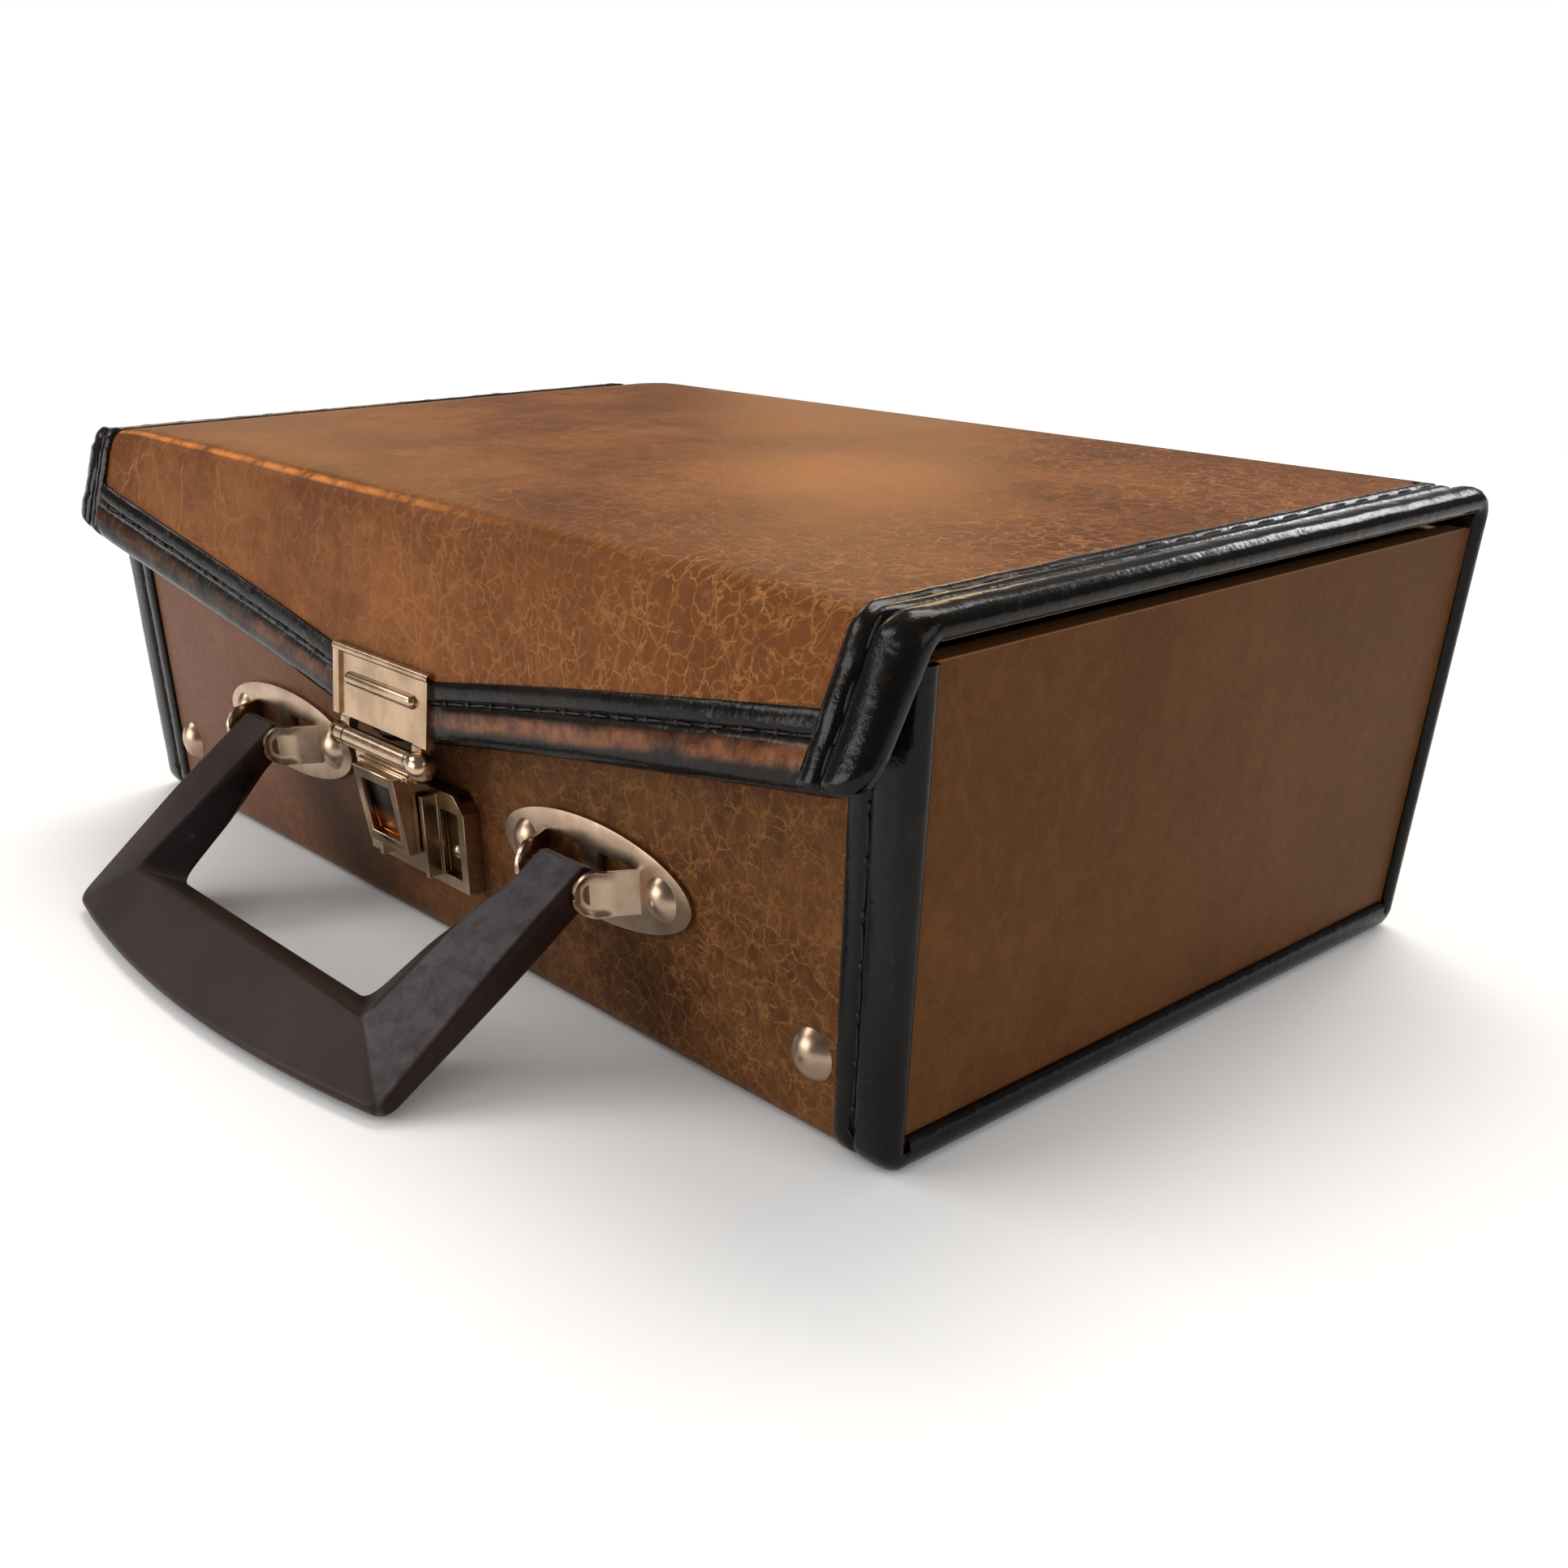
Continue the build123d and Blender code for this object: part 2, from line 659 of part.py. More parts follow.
def hasp_leaf():
    seat = leaf_seat()
    low = upright_height(leaf_bottom)
    top = upright_height(leaf_top)
    half = leaf_width / 2
    face = seat - leaf_sheet
    leaf = block(-half, half, face, seat, low, top)
    leaf += cross_rod(leaf_bead, face + 0.1, top - leaf_bead, -half, half)
    for side in (-1, 1):
        x0 = side * half
        x1 = side * (half - leaf_border)
        leaf += block(min(x0, x1), max(x0, x1), face - leaf_border_rise, face + 0.1, low, top - leaf_bead)
    rib_z = upright_height(leaf_top - leaf_rib_drop)
    rib = cross_rod(leaf_rib_radius, face, rib_z, -leaf_rib_half_length + leaf_rib_radius,
                    leaf_rib_half_length - leaf_rib_radius)
    for side in (-1, 1):
        rib += Pos(side * (leaf_rib_half_length - leaf_rib_radius), face, rib_z) * Sphere(leaf_rib_radius)
    rib &= block(-half, half, face - 2 * leaf_rib_radius, face + leaf_sheet / 2, low, top)
    leaf += rib
    axis_y, axis_z = hasp_axis()
    knuckle_start = knuckle_half_length + knuckle_gap
    for side in (-1, 1):
        x0 = side * knuckle_start
        x1 = side * (knuckle_start + leaf_knuckle_length)
        web_top = low - web_gap
        leaf += block(min(x0, x1), max(x0, x1), axis_y, axis_y + knuckle_radius, axis_z, web_top)
        leaf += block(min(x0, x1), max(x0, x1), face, axis_y + knuckle_radius, web_top - leaf_sheet, web_top)
        leaf += block(min(x0, x1), max(x0, x1), face, seat, web_top - leaf_sheet, low + leaf_sheet)
        leaf += cross_rod(knuckle_radius, axis_y, axis_z, x0, x1)
    leaf -= cross_rod(hasp_pin_radius + hole_play, axis_y, axis_z, -half, half)
    for side in (-1, 1):
        leaf -= rod(small_shank_radius + hole_play, side * leaf_rivet_spread,
                    upright_height(leaf_top - leaf_rivet_drop), seat - leaf_pin_depth, seat + leaf_sheet)
    keep(tilt_with_flap(leaf), "hasp_leaf")


def leaf_fastening():
    seat = leaf_seat()
    z = upright_height(leaf_top - leaf_rivet_drop)
    back = seat + flap_thickness + lid_binding_skin
    rivets = []
    for side in (-1, 1):
        head = Pos(side * leaf_rivet_spread, back + washer, z) * Rot(-90, 0, 0)
        head = head * dome(leaf_rivet_radius, leaf_rivet_rise)
        pin = rod(small_shank_radius, side * leaf_rivet_spread, z, seat - leaf_pin_depth, back + washer)
        rivets.append(tilt_with_flap(head + pin))
    keep(Compound(children=rivets), "leaf_rivets")
    plate = block(-leaf_width / 2 + leaf_backing_inset, leaf_width / 2 - leaf_backing_inset, back, back + washer,
                  z - leaf_backing_half_height, z + leaf_backing_half_height)
    for side in (-1, 1):
        plate -= rod(small_shank_radius + hole_play, side * leaf_rivet_spread, z, back - 1, back + 2)
    keep(tilt_with_flap(plate), "leaf_backing")


def hasp_pin():
    y, z = hasp_axis()
    end = knuckle_half_length + knuckle_gap + leaf_knuckle_length
    pin = cross_rod(hasp_pin_radius, y, z, -end - pin_end_reach, end + pin_end_reach)
    for side in (-1, 1):
        head = Rot(0, side * 90, 0) * dome(pin_head_radius, pin_head_length)
        pin += Pos(side * end, y, z) * head
    keep(pin, "hasp_pin")


def hasp():
    """The swinging part: a knuckle, a stepped neck and a hollow box that snaps over the catch."""
    axis_y, axis_z = hasp_axis()
    part = cross_rod(knuckle_radius, axis_y, axis_z, -knuckle_half_length, knuckle_half_length)
    neck_back = axis_y + knuckle_radius
    neck = block(-knuckle_half_length, knuckle_half_length, neck_back - hasp_plate, neck_back,
                 hasp_box_top - hasp_neck_overlap, axis_z)
    ledge = hasp_box_half_width + hasp_neck_ledge
    neck += block(-ledge, ledge, neck_back - hasp_plate - hasp_neck_step, neck_back,
                  hasp_box_top - hasp_neck_overlap, hasp_box_top + hasp_neck_overlap)
    part += neck
    y_top = front_face - hasp_box_reach_top
    y_low = front_face - hasp_box_reach_bottom
    y_back = front_face - base_rise - plate_gap
    outline = [(y_top, hasp_box_top), (y_low, hasp_box_bottom), (y_back, hasp_box_bottom),
               (y_back, hasp_box_top)]
    box = yz_prism(-hasp_box_half_width, hasp_box_half_width, outline)
    wall = hasp_wall
    shift = wall + hasp_window_depth
    inside = [(y_top + shift, hasp_box_top - wall), (y_low + shift, hasp_box_bottom + wall),
              (y_back + 1, hasp_box_bottom + wall), (y_back + 1, hasp_box_top - wall)]
    box -= yz_prism(-hasp_box_half_width + wall, hasp_box_half_width - wall, inside)
    m = hasp_window_margin
    window = [(y_top - 2, hasp_box_top - m), (y_low - 2, hasp_box_bottom + m),
              (y_low + hasp_window_depth, hasp_box_bottom + m), (y_top + hasp_window_depth, hasp_box_top - m)]
    box -= yz_prism(-hasp_box_half_width + m, hasp_box_half_width - m, window)
    part += box
    part -= cross_rod(hasp_pin_radius + hole_play, axis_y, axis_z, -leaf_width, leaf_width)
    keep(part, "hasp")


def latch_base():
    """The lower plate: a raised edge, two sunk fields and two cheeks that guide the hasp."""
    c = base_corner
    w = base_half_width
    outline = Polyline((-w, base_bottom), (w, base_bottom), (w, base_top - c), (w - c, base_top),
                       (-w + c, base_top), (-w, base_top - c), close=True)
    face = Plane.XZ.offset(half_depth) * make_face(outline)
    plate = extrude(face, amount=base_rise)
    for side in (-1, 1):
        x0 = side * base_field_inner
        x1 = side * base_field_outer
        field_back = front_face - base_rise + base_field_depth
        plate -= block(min(x0, x1), max(x0, x1), front_face - base_rise - 1, field_back,
                       base_field_bottom, base_field_top)
        x0 = side * cheek_inner
        x1 = side * cheek_outer
        plate += block(min(x0, x1), max(x0, x1), front_face - cheek_reach, front_face - base_rise + 0.1,
                       cheek_bottom, cheek_top)
        plate -= rod(small_shank_radius + hole_play, side * base_rivet_spread, base_rivet_height,
                     front_face - base_rise - 1, front_face + 1)
    keep(plate, "latch_base")
    tongue = block(-catch_half_width, catch_half_width, front_face - catch_reach, front_face - base_rise,
                   catch_height - catch_sheet / 2, catch_height + catch_sheet / 2)
    tongue += cross_rod(catch_bead, front_face - catch_reach, catch_height, -catch_half_width, catch_half_width)
    keep(tongue, "latch_catch")


def base_fastening():
    seat = front_face - base_rise + base_field_depth
    rivets = []
    for side in (-1, 1):
        rivets.append(front_fastener(side * base_rivet_spread, base_rivet_height, seat, base_rivet_radius,
                                     base_rivet_head, small_shank_radius, -lining_in + washer))
    keep(Compound(children=rivets), "base_rivets")
    half = base_half_width - base_backing_inset
    plate = block(-half, half, -lining_in, -lining_in + washer,
                  base_rivet_height - base_backing_half_height, base_rivet_height + base_backing_half_height)
    for side in (-1, 1):
        plate -= rod(small_shank_radius + hole_play, side * base_rivet_spread, base_rivet_height,
                     -lining_in - 1, -lining_in + washer + 1)
    keep(plate, "base_backing")


# ---- lid -------------------------------------------------------------------------------
def section_places(limit):
    """Where the flap's sections stand along X; every layer of the flap shares them."""
    span = lid_binding_start - flap_lean_flat
    places = [flap_lean_flat + span * i / flap_sections for i in range(flap_sections + 1)]
    places += [x for x in (lid_board_half_width, lid_half_width) if x <= limit]
    return [-x for x in reversed(places)] + places


def flap_levels(x):
    """The heights at which every layer of the flap has a corner, from the top down."""
    low = flap_low(x)
    return [lid_board_bottom - flap_top_gap, low + flap_binding_width, low + lid_binding_skin]


def flap_point(x, z, depth):
    """A point 'depth' behind the flap's outer face, measured square to the face."""
    lean = math.atan(flap_lean(x))
    y = flap_outer(x, z)
    return y + depth * math.cos(lean), z - depth * math.sin(lean)


def flap_line(x, levels, depth):
    return [flap_point(x, z, depth) for z in levels]


def fold_arc(x, depth, steps=4):
    """The rounded fold between the top and the flap at one depth below the outer face."""
    lean = math.atan(flap_lean(x))
    corner_y = front_face - fold_reach
    turn = math.pi / 2 - lean
    middle_y = corner_y + fold_radius * math.tan(turn / 2)
    middle_z = lid_top_height - fold_radius
    radius = fold_radius - depth
    points = []
    for i in range(steps + 1):
        angle = math.pi / 2 + turn * i / steps
        points.append((middle_y + radius * math.cos(angle), middle_z + radius * math.sin(angle)))
    return points


def over_and_down(x, back, depth, levels):
    """A line over the top, round the fold and down the flap at one depth."""
    return [(back, lid_top_height - depth)] + fold_arc(x, depth) + flap_line(x, levels, depth)


def between(outer, inner):
    return outer + list(reversed(inner))


def lofted(places, profile):
    return loft([yz_face(x, profile(x)) for x in places], ruled=True)


def lid_boards():
    top = block(-lid_board_half_width, lid_board_half_width, fold_back, lid_end,
                lid_board_bottom, lid_board_top)
    keep(top, "lid_board")
    front = lid_cover_skin + glue_line
    back = lid_cover_skin + flap_board

    def profile(x):
        levels = flap_levels(x)
        return between(flap_line(x, levels, front), flap_line(x, levels, back))

    flap = lofted(section_places(lid_board_half_width), profile)
    keep(flap - leaf_holes(), "flap_board")


def leaf_holes():
    seat = leaf_seat()
    holes = []
    for side in (-1, 1):
        hole = rod(small_shank_radius + hole_play, side * leaf_rivet_spread, upright_height(leaf_top - leaf_rivet_drop),
                   seat - leaf_sheet, seat + 3 * flap_thickness)
        holes.append(tilt_with_flap(hole))
    return holes


def lid_cover():
    """The vinyl over the lid and flap, with the half of the hinge fold that moves with the lid."""
    def profile(x):
        levels = flap_levels(x)
        return between(over_and_down(x, lid_end, 0, levels), over_and_down(x, lid_end, lid_cover_skin, levels))

    skin = lofted(section_places(lid_board_half_width), profile)
    outer = [(lid_end, lid_top_height), (half_depth - hinge_radius, lid_top_height)]
    inner = [(lid_end, lid_board_top)]
    steps = 4
    top_z = lid_top_height - hinge_radius
    for i in range(1, steps + 1):
        angle = math.pi / 2 * (1 - i / steps)
        y = half_depth - hinge_radius + hinge_radius * math.cos(angle)
        outer.append((y, top_z + hinge_radius * math.sin(angle)))
        inner_radius = hinge_radius - lid_cover_skin
        y = half_depth - hinge_radius + inner_radius * math.cos(angle)
        inner.append((y, top_z + inner_radius * math.sin(angle)))
    low = hinge_axis_height + hinge_gap
    outer.append((half_depth, low))
    inner.append((half_depth - lid_cover_skin, low))
    skin += yz_prism(-binding_start, binding_start, between(outer, inner))
    keep(skin - leaf_holes(), "lid_cover")


def lid_linings():
    margin = lid_lining_margin
    pad = block(-half_width + margin, half_width - margin, -board_out, lid_end,
                lid_board_bottom - lid_padding, lid_board_bottom)
    keep(pad, "lid_lining")
    front = lid_cover_skin + flap_board + glue_line
    back = flap_thickness - glue_line

    def profile(x):
        levels = flap_levels(x)
        return between(flap_line(x, levels, front), flap_line(x, levels, back))

    inner = lofted(section_places(lid_binding_start), profile)
    keep(inner - leaf_holes(), "flap_lining")


def binding_c(x, out, back):
    """The section of the strip folded over the flap's lower edge."""
    high, mid, low = flap_levels(x)
    edge = flap_low(x)
    outer = [flap_point(x, mid, out), flap_point(x, edge, out), flap_point(x, edge, back), flap_point(x, mid, back)]
    inner = [flap_point(x, mid, flap_thickness), flap_point(x, low, flap_thickness),
             flap_point(x, low, -glue_line), flap_point(x, mid, -glue_line)]
    return outer + inner


def flap_binding():
    """The strip folded over the lower edge of the flap, cut away under the hasp's leaf."""
    out = -lid_binding_proud
    back = flap_thickness + lid_binding_skin
    strip = lofted(section_places(lid_binding_start), lambda x: binding_c(x, out, back))
    reach = leaf_width / 2 + leaf_play
    levels = [leaf_top + leaf_height, leaf_bottom - leaf_height]
    room = lofted([-reach, reach],
                  lambda x: between(flap_line(0, levels, -leaf_height), flap_line(0, levels, 0)))
    keep(strip - room - leaf_holes(), "flap_binding")


def side_lid_bindings():
    """The strip folded over each side edge of the top and the flap."""
    out = -lid_binding_proud
    skin = lid_binding_skin
    back = flap_thickness + skin
    x0, x1, x2 = lid_binding_start, lid_board_half_width, lid_half_width

    def outer_leg(x):
        levels = flap_levels(x)
        return between(over_and_down(x, lid_end, out, levels), over_and_down(x, lid_end, 0, levels))

    def cap(x):
        levels = flap_levels(x)[:2] + [flap_low(x)]
        return between(over_and_down(x, lid_end, out, levels), over_and_down(x, lid_end, back, levels))

    def lower_edge(x):
        levels = [flap_low(x) + skin, flap_low(x)]
        return between(flap_line(x, levels, out), flap_line(x, levels, back))

    def inner_leg(x):
        levels = flap_levels(x)
        return between(flap_line(x, levels, flap_thickness), flap_line(x, levels, back))

    strip = lofted([x0, x1], outer_leg) + lofted([x1, x2], cap)
    strip += lofted([x0, x1], lower_edge)
    strip += lofted([x0, x1], inner_leg)
    under = lid_board_bottom - skin
    strip += block(x0, x2, fold_back + 0.3, lid_end, under, lid_board_bottom)
    strip += block(x1, x2, fold_back, lid_end, under, lid_board_top)
    keep(strip, "right_lid_binding")
    keep(mirrored(strip), "left_lid_binding")


def hinge_strip():
    """The half of the hinge fold that is sewn to the back of the body."""
    high = hinge_axis_height - hinge_gap
    strip = block(-binding_start, binding_start, board_out, half_depth, hinge_body_edge, high)
    keep(strip, "hinge_strip")


def build():
    body_boards()
    body_cover()
    side_covers()
    body_bindings()
    body_lining()
    cassette_tray()
    tray_dividers()
    studs()
    brackets()
    handle()
    hasp_leaf()
    leaf_fastening()
    hasp_pin()
    hasp()
    latch_base()
    base_fastening()
    lid_boards()
    lid_cover()
    lid_linings()
    flap_binding()
    side_lid_bindings()
    hinge_strip()
    os.makedirs("parts", exist_ok=True)
    for node, shape in made:
        export_step(shape, "parts/" + node + ".step")


build()
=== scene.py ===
import math

import bmesh
import bpy
from mathutils import Matrix, Vector, noise


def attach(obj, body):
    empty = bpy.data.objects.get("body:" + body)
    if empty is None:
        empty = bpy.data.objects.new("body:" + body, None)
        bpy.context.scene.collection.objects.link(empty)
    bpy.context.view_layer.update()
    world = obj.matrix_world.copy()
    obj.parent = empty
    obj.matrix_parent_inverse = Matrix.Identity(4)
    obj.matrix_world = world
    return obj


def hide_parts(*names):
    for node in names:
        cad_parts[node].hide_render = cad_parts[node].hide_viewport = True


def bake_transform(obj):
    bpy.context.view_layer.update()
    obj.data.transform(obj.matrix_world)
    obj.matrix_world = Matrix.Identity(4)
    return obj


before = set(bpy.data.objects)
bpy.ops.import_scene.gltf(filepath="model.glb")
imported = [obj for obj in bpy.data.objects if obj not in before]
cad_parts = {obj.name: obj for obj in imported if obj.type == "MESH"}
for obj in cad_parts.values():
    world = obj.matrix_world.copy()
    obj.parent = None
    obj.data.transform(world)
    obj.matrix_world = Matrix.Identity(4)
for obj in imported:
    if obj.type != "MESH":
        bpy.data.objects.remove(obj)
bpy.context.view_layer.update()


# ---- Camera ----
# The camera stands close to the right front corner of the case and looks down on it.
# Its place comes from the straight edges of the case in the photograph.
eye = bpy.data.cameras.new("camera")
eye.sensor_width = 36.0
eye.lens = 35.95
eye.shift_x = 0.0366
eye.shift_y = 0.2503
eye.clip_start = 0.01
camera = bpy.data.objects.new("camera", eye)
camera_axes = Matrix(((0.6626, 0.7490, 0.0027), (-0.4036, 0.3540, 0.8437), (0.6309, -0.5601, 0.5368)))
camera.matrix_world = Matrix.Translation((0.2689, -0.2354, 0.1340)) @ camera_axes.transposed().to_4x4()
bpy.context.scene.collection.objects.link(camera)
bpy.context.scene.camera = camera
bpy.context.scene.view_settings.view_transform = "Standard"


# ---- Floor and lights ----
# A pale, matt studio floor, a pale surround and seven soft lamps: large ones high behind
# the case, in front of it and on its right, and small ones that glance off lid and metal.
class Wire:
    """A socket in a material's tree. Sums on it add Math nodes, and node() adds any other."""

    def __init__(self, tree, socket=None):
        self.tree = tree
        self.socket = socket

    def feed(self, socket, value):
        if isinstance(value, Wire):
            self.tree.links.new(value.socket, socket)
        else:
            socket.default_value = value

    def node(self, kind, settings=None, sockets=None, output=0):
        made = self.tree.nodes.new("ShaderNode" + kind)
        for name, value in (settings or {}).items():
            setattr(made, name, value)
        for name, value in (sockets or {}).items():
            self.feed(made.inputs[name], value)
        return Wire(self.tree, made.outputs[output])

    def sum(self, operation, a, b):
        return self.node("Math", {"operation": operation}, {0: a, 1: b})

    def __add__(self, other):
        return self.sum("ADD", self, other)

    __radd__ = __add__

    def __sub__(self, other):
        return self.sum("SUBTRACT", self, other)

    def __rsub__(self, other):
        return self.sum("SUBTRACT", other, self)

    def __mul__(self, other):
        return self.sum("MULTIPLY", self, other)

    __rmul__ = __mul__

    def top(self, other):
        """The greater of the two."""
        return self.sum("MAXIMUM", self, other)

    def size(self):
        """The number without its sign."""
        return self.sum("ABSOLUTE", self, 0.0)

    def split(self):
        """The three parts of a vector."""
        parts = self.node("SeparateXYZ", None, {0: self}).socket.node.outputs
        return [Wire(self.tree, part) for part in parts]

    def ease(self, low, high):
        """0 below low, 1 above high and smooth between them."""
        return self.node("MapRange", {"interpolation_type": "SMOOTHSTEP"},
                         {"Value": self, "From Min": low, "From Max": high})

    def tint(self, a, b):
        """Colour a where this is 0 and colour b where it is 1."""
        return self.node("Mix", {"data_type": "RGBA"}, {0: self, 6: a, 7: b}, 2)


def looked_at(tree):
    """1 where the camera sees a thing itself, in a reflection or through a clear piece."""
    straight, mirrored, through = [Wire(tree).node("LightPath", output="Is " + kind + " Ray")
                                   for kind in ("Camera", "Glossy", "Transmission")]
    return straight.top(mirrored).top(through)


pale = (0.93, 0.93, 0.93, 1.0)
white = (1.0, 1.0, 1.0, 1.0)
dim_room = (0.16, 0.15, 0.14, 1.0)
fill_light = (0.55, 0.54, 0.53, 1.0)
studio = bpy.data.worlds.new("studio")
studio.use_nodes = True
bpy.context.scene.world = studio
air = Wire(studio.node_tree)
# the surround is plain white, but reflections of it darken upwards, as in a room
height = air.node("TexCoord", output="Generated").split()[2]
surround = (height.ease(0.01, 0.10) * air.node("LightPath", output="Is Glossy Ray")).tint(white, dim_room)
air.feed(studio.node_tree.nodes["Background"].inputs["Color"], looked_at(studio.node_tree).tint(fill_light, surround))

floor_finish = bpy.data.materials.new("pale_floor")
floor_finish.use_nodes = True
floor_tree = floor_finish.node_tree
floor_shader = floor_tree.nodes["Principled BSDF"]
floor_shader.inputs["Base Color"].default_value = pale
floor_shader.inputs["Roughness"].default_value = 0.9
floor_shader.inputs["Specular IOR Level"].default_value = 0.0
ground = Wire(floor_tree)
# away from the case the floor fades into the white surround
far = ground.node("VectorMath", {"operation": "LENGTH"}, {0: ground.node("TexCoord", output="Object")}, 1)
glow = ground.node("Emission", None, {"Color": white, "Strength": 1.0})
mixed = ground.node("MixShader", None, {0: looked_at(floor_tree) * far.ease(0.30, 0.85),
                                        1: Wire(floor_tree, floor_shader.outputs[0]), 2: glow})
ground.feed(floor_tree.nodes["Material Output"].inputs["Surface"], mixed)
floor_mesh = bpy.data.meshes.new("floor")
floor_half = 15.0
floor_mesh.from_pydata([(floor_half * x, floor_half * y, 0) for x, y in ((-1, -1), (1, -1), (1, 1), (-1, 1))],
                       [], [(0, 1, 2, 3)])
floor_mesh.materials.append(floor_finish)
floor = bpy.data.objects.new("floor", floor_mesh)
bpy.context.scene.collection.objects.link(floor)


def softbox(name, place, aim, width, height, power, colour):
    """A rectangular lamp at a place, turned to what it is aimed at."""
    lamp = bpy.data.lights.new(name, "AREA")
    lamp.shape = "RECTANGLE"
    lamp.size = width
    lamp.size_y = height
    lamp.energy = power
    lamp.color = colour
    stand = bpy.data.objects.new(name, lamp)
    stand.location = place
    stand.rotation_euler = (Vector(aim) - Vector(place)).to_track_quat("-Z", "Y").to_euler()
    bpy.context.scene.collection.objects.link(stand)


softbox("lamp_above", (-0.45, 0.70, 1.35), (-0.05, 0, 0.05), 1.1, 0.8, 17.0, (1.0, 0.95, 0.88))
softbox("lamp_front", (-0.85, -1.4, 0.48), (-0.03, 0, 0.04), 1.0, 0.7, 11.5, (1.0, 0.98, 0.96))
softbox("lamp_right", (1.6, 0.3, 0.9), (0, 0, 0.05), 1.0, 0.9, 6.0, (1.0, 0.98, 0.96))
softbox("lamp_sheen", (-1.0, -0.60, 0.86), (-0.05, -0.1, 0.03), 0.5, 0.4, 3.2, (0.97, 0.98, 1.0))
softbox("lamp_back", (-0.02, 1.45, 0.86), (0.1, 0, 0.08), 0.6, 0.16, 4.2, (0.97, 0.98, 1.0))
softbox("lamp_left", (-1.08, 1.17, 0.33), (0, 0, 0.08), 0.30, 0.22, 0.7, (1.0, 0.60, 0.28))
softbox("lamp_fold", (-1.3, 0.5, 0.62), (-0.05, -0.08, 0.08), 0.40, 0.40, 1.3, (1.0, 0.62, 0.32))


# ---- Boards ----
# Seven pieces of grey-brown strawboard make the box, the lid and the flap. They are glued
# at their edges and only their cut edges could be seen under the covers.
def begin(name, **constants):
    """A new material: its shader, with what is the same all over it, and its place wire."""
    made = bpy.data.materials.new(name)
    made.use_nodes = True
    shader = made.node_tree.nodes["Principled BSDF"]
    for socket, value in constants.items():
        shader.inputs[socket.replace("_", " ")].default_value = value
    return made, shader, Wire(made.node_tree).node("TexCoord", output="Object")


def cloud(place, scale, detail=3.0, rough=0.55, output=0):
    """Noise: a number, or with output 1 a colour."""
    sockets = {"Vector": place, "Scale": scale, "Detail": detail, "Roughness": rough}
    return place.node("TexNoise", None, sockets, output)


def relief(shader, height, strength, depth):
    """Fine relief in the shader's normal, from a height that varies over the surface."""
    height.feed(shader.inputs["Normal"],
                height.node("Bump", None, {"Strength": strength, "Distance": depth, "Height": height}))


def dress(node, made):
    """Gives a material to a plain solid that is shown as it is."""
    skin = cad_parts[node].data
    skin.materials.clear()
    skin.materials.append(made)


strawboard, shader, place = begin("strawboard", Specular_IOR_Level=0.1, Roughness=0.9)
fibre = cloud(place, 420.0, 4.0)
place.feed(shader.inputs["Base Color"], fibre.ease(0.35, 0.65).tint((0.20, 0.15, 0.10, 1), (0.33, 0.26, 0.18, 1)))
relief(shader, fibre, 0.4, 0.0002)
for node in ("front_board", "bottom_board", "back_board", "left_side_board", "right_side_board"):
    dress(node, strawboard)


# ---- Vinyl covers of the box ----
# Brown embossed vinyl on paper is glued over the boards: one strip runs down the front,
# under the bottom and up the back, and a flat panel covers each side.
def cells(place, scale, width):
    """1 on the borders of cells and 0 inside them."""
    inside = place.node("TexVoronoi", {"feature": "DISTANCE_TO_EDGE"}, {"Vector": place, "Scale": scale})
    return 1 - inside.ease(0.0, width)


def vinyl(name, dark, plain, light, shine, crackle, wrinkle, streak, under=None, over=None):
    """Embossed vinyl: mottled brown with lighter lines round small and large cells. Painted light and shade (sheen,
    highlights and a shaded patch) are added by two functions, under the lines and over them."""
    made, shader, place = begin(name, Specular_IOR_Level=shine, Specular_Tint=(1.0, 0.62, 0.36, 1.0))
    to_right = place.split()[0].ease(-0.05, 0.10)
    bend = place
    for scale, rough, reach in ((70.0, 0.5, 0.0080), (420.0, 0.6, 0.0026)):
        bend = place.node("VectorMath", {"operation": "MULTIPLY_ADD"},
                          {0: cloud(place, scale, 2.0, rough, 1), 1: (reach, reach, reach), 2: bend})
    long = bend.node("Mapping", None, {"Vector": bend, "Rotation": (0.2, 0.3, 0.75), "Scale": (1.0, 0.22, 0.4)})
    broken = cloud(place, 300.0, 2.0).ease(0.34, 0.56)
    patch = cloud(place, 19.0, 2.0)
    small_line = cells(bend, 380.0, 0.085) * cloud(place, 26.0, 2.0).ease(0.30, 0.52) * broken
    small_line = small_line * (0.18 + 0.82 * to_right) * (crackle * 0.60)
    middle_line = cells(bend, 250.0, 0.066) * (0.30 + 0.70 * broken) * patch.ease(0.30, 0.52)
    middle_line = middle_line * (0.3 + 0.7 * to_right) * crackle
    large_line = cells(bend, 44.0, 0.020) * patch.ease(0.42, 0.62) * wrinkle
    long_line = cells(long, 52.0, 0.014) * cloud(place, 10.0, 2.0).ease(0.45, 0.62)
    long_line = long_line * (1 - 0.7 * to_right) * streak
    line = small_line.top(middle_line).top(large_line).top(long_line)
    mottle = cloud(place, 24.0, 5.0, 0.62)
    fleck = cloud(place, 210.0, 4.0, 0.65)
    speck = cloud(place, 900.0, 2.0, 0.5)
    colour = (mottle * 0.65 + fleck * 0.35).ease(0.38, 0.64).tint(dark, plain)
    if under:
        colour = under(place, colour, mottle, fleck)
    colour = (line * 0.85).tint(colour, light)
    colour = (speck.ease(0.50, 0.72) * 0.30).tint(colour, dark)
    if over:
        colour = over(place, colour, fleck)
    place.feed(shader.inputs["Base Color"], colour)
    place.feed(shader.inputs["Roughness"], 0.30 + 0.12 * mottle + 0.12 * fleck + 0.10 * line)
    relief(shader, speck * 0.30 + fleck * 0.7 - line * 0.7 + mottle * 0.8, 0.35, 0.00035)
    return made


# the side vinyl's lighter line colour, also used for the painted highlight on the panels' top edges
side_line_and_highlight = (0.165, 0.073, 0.026, 1)


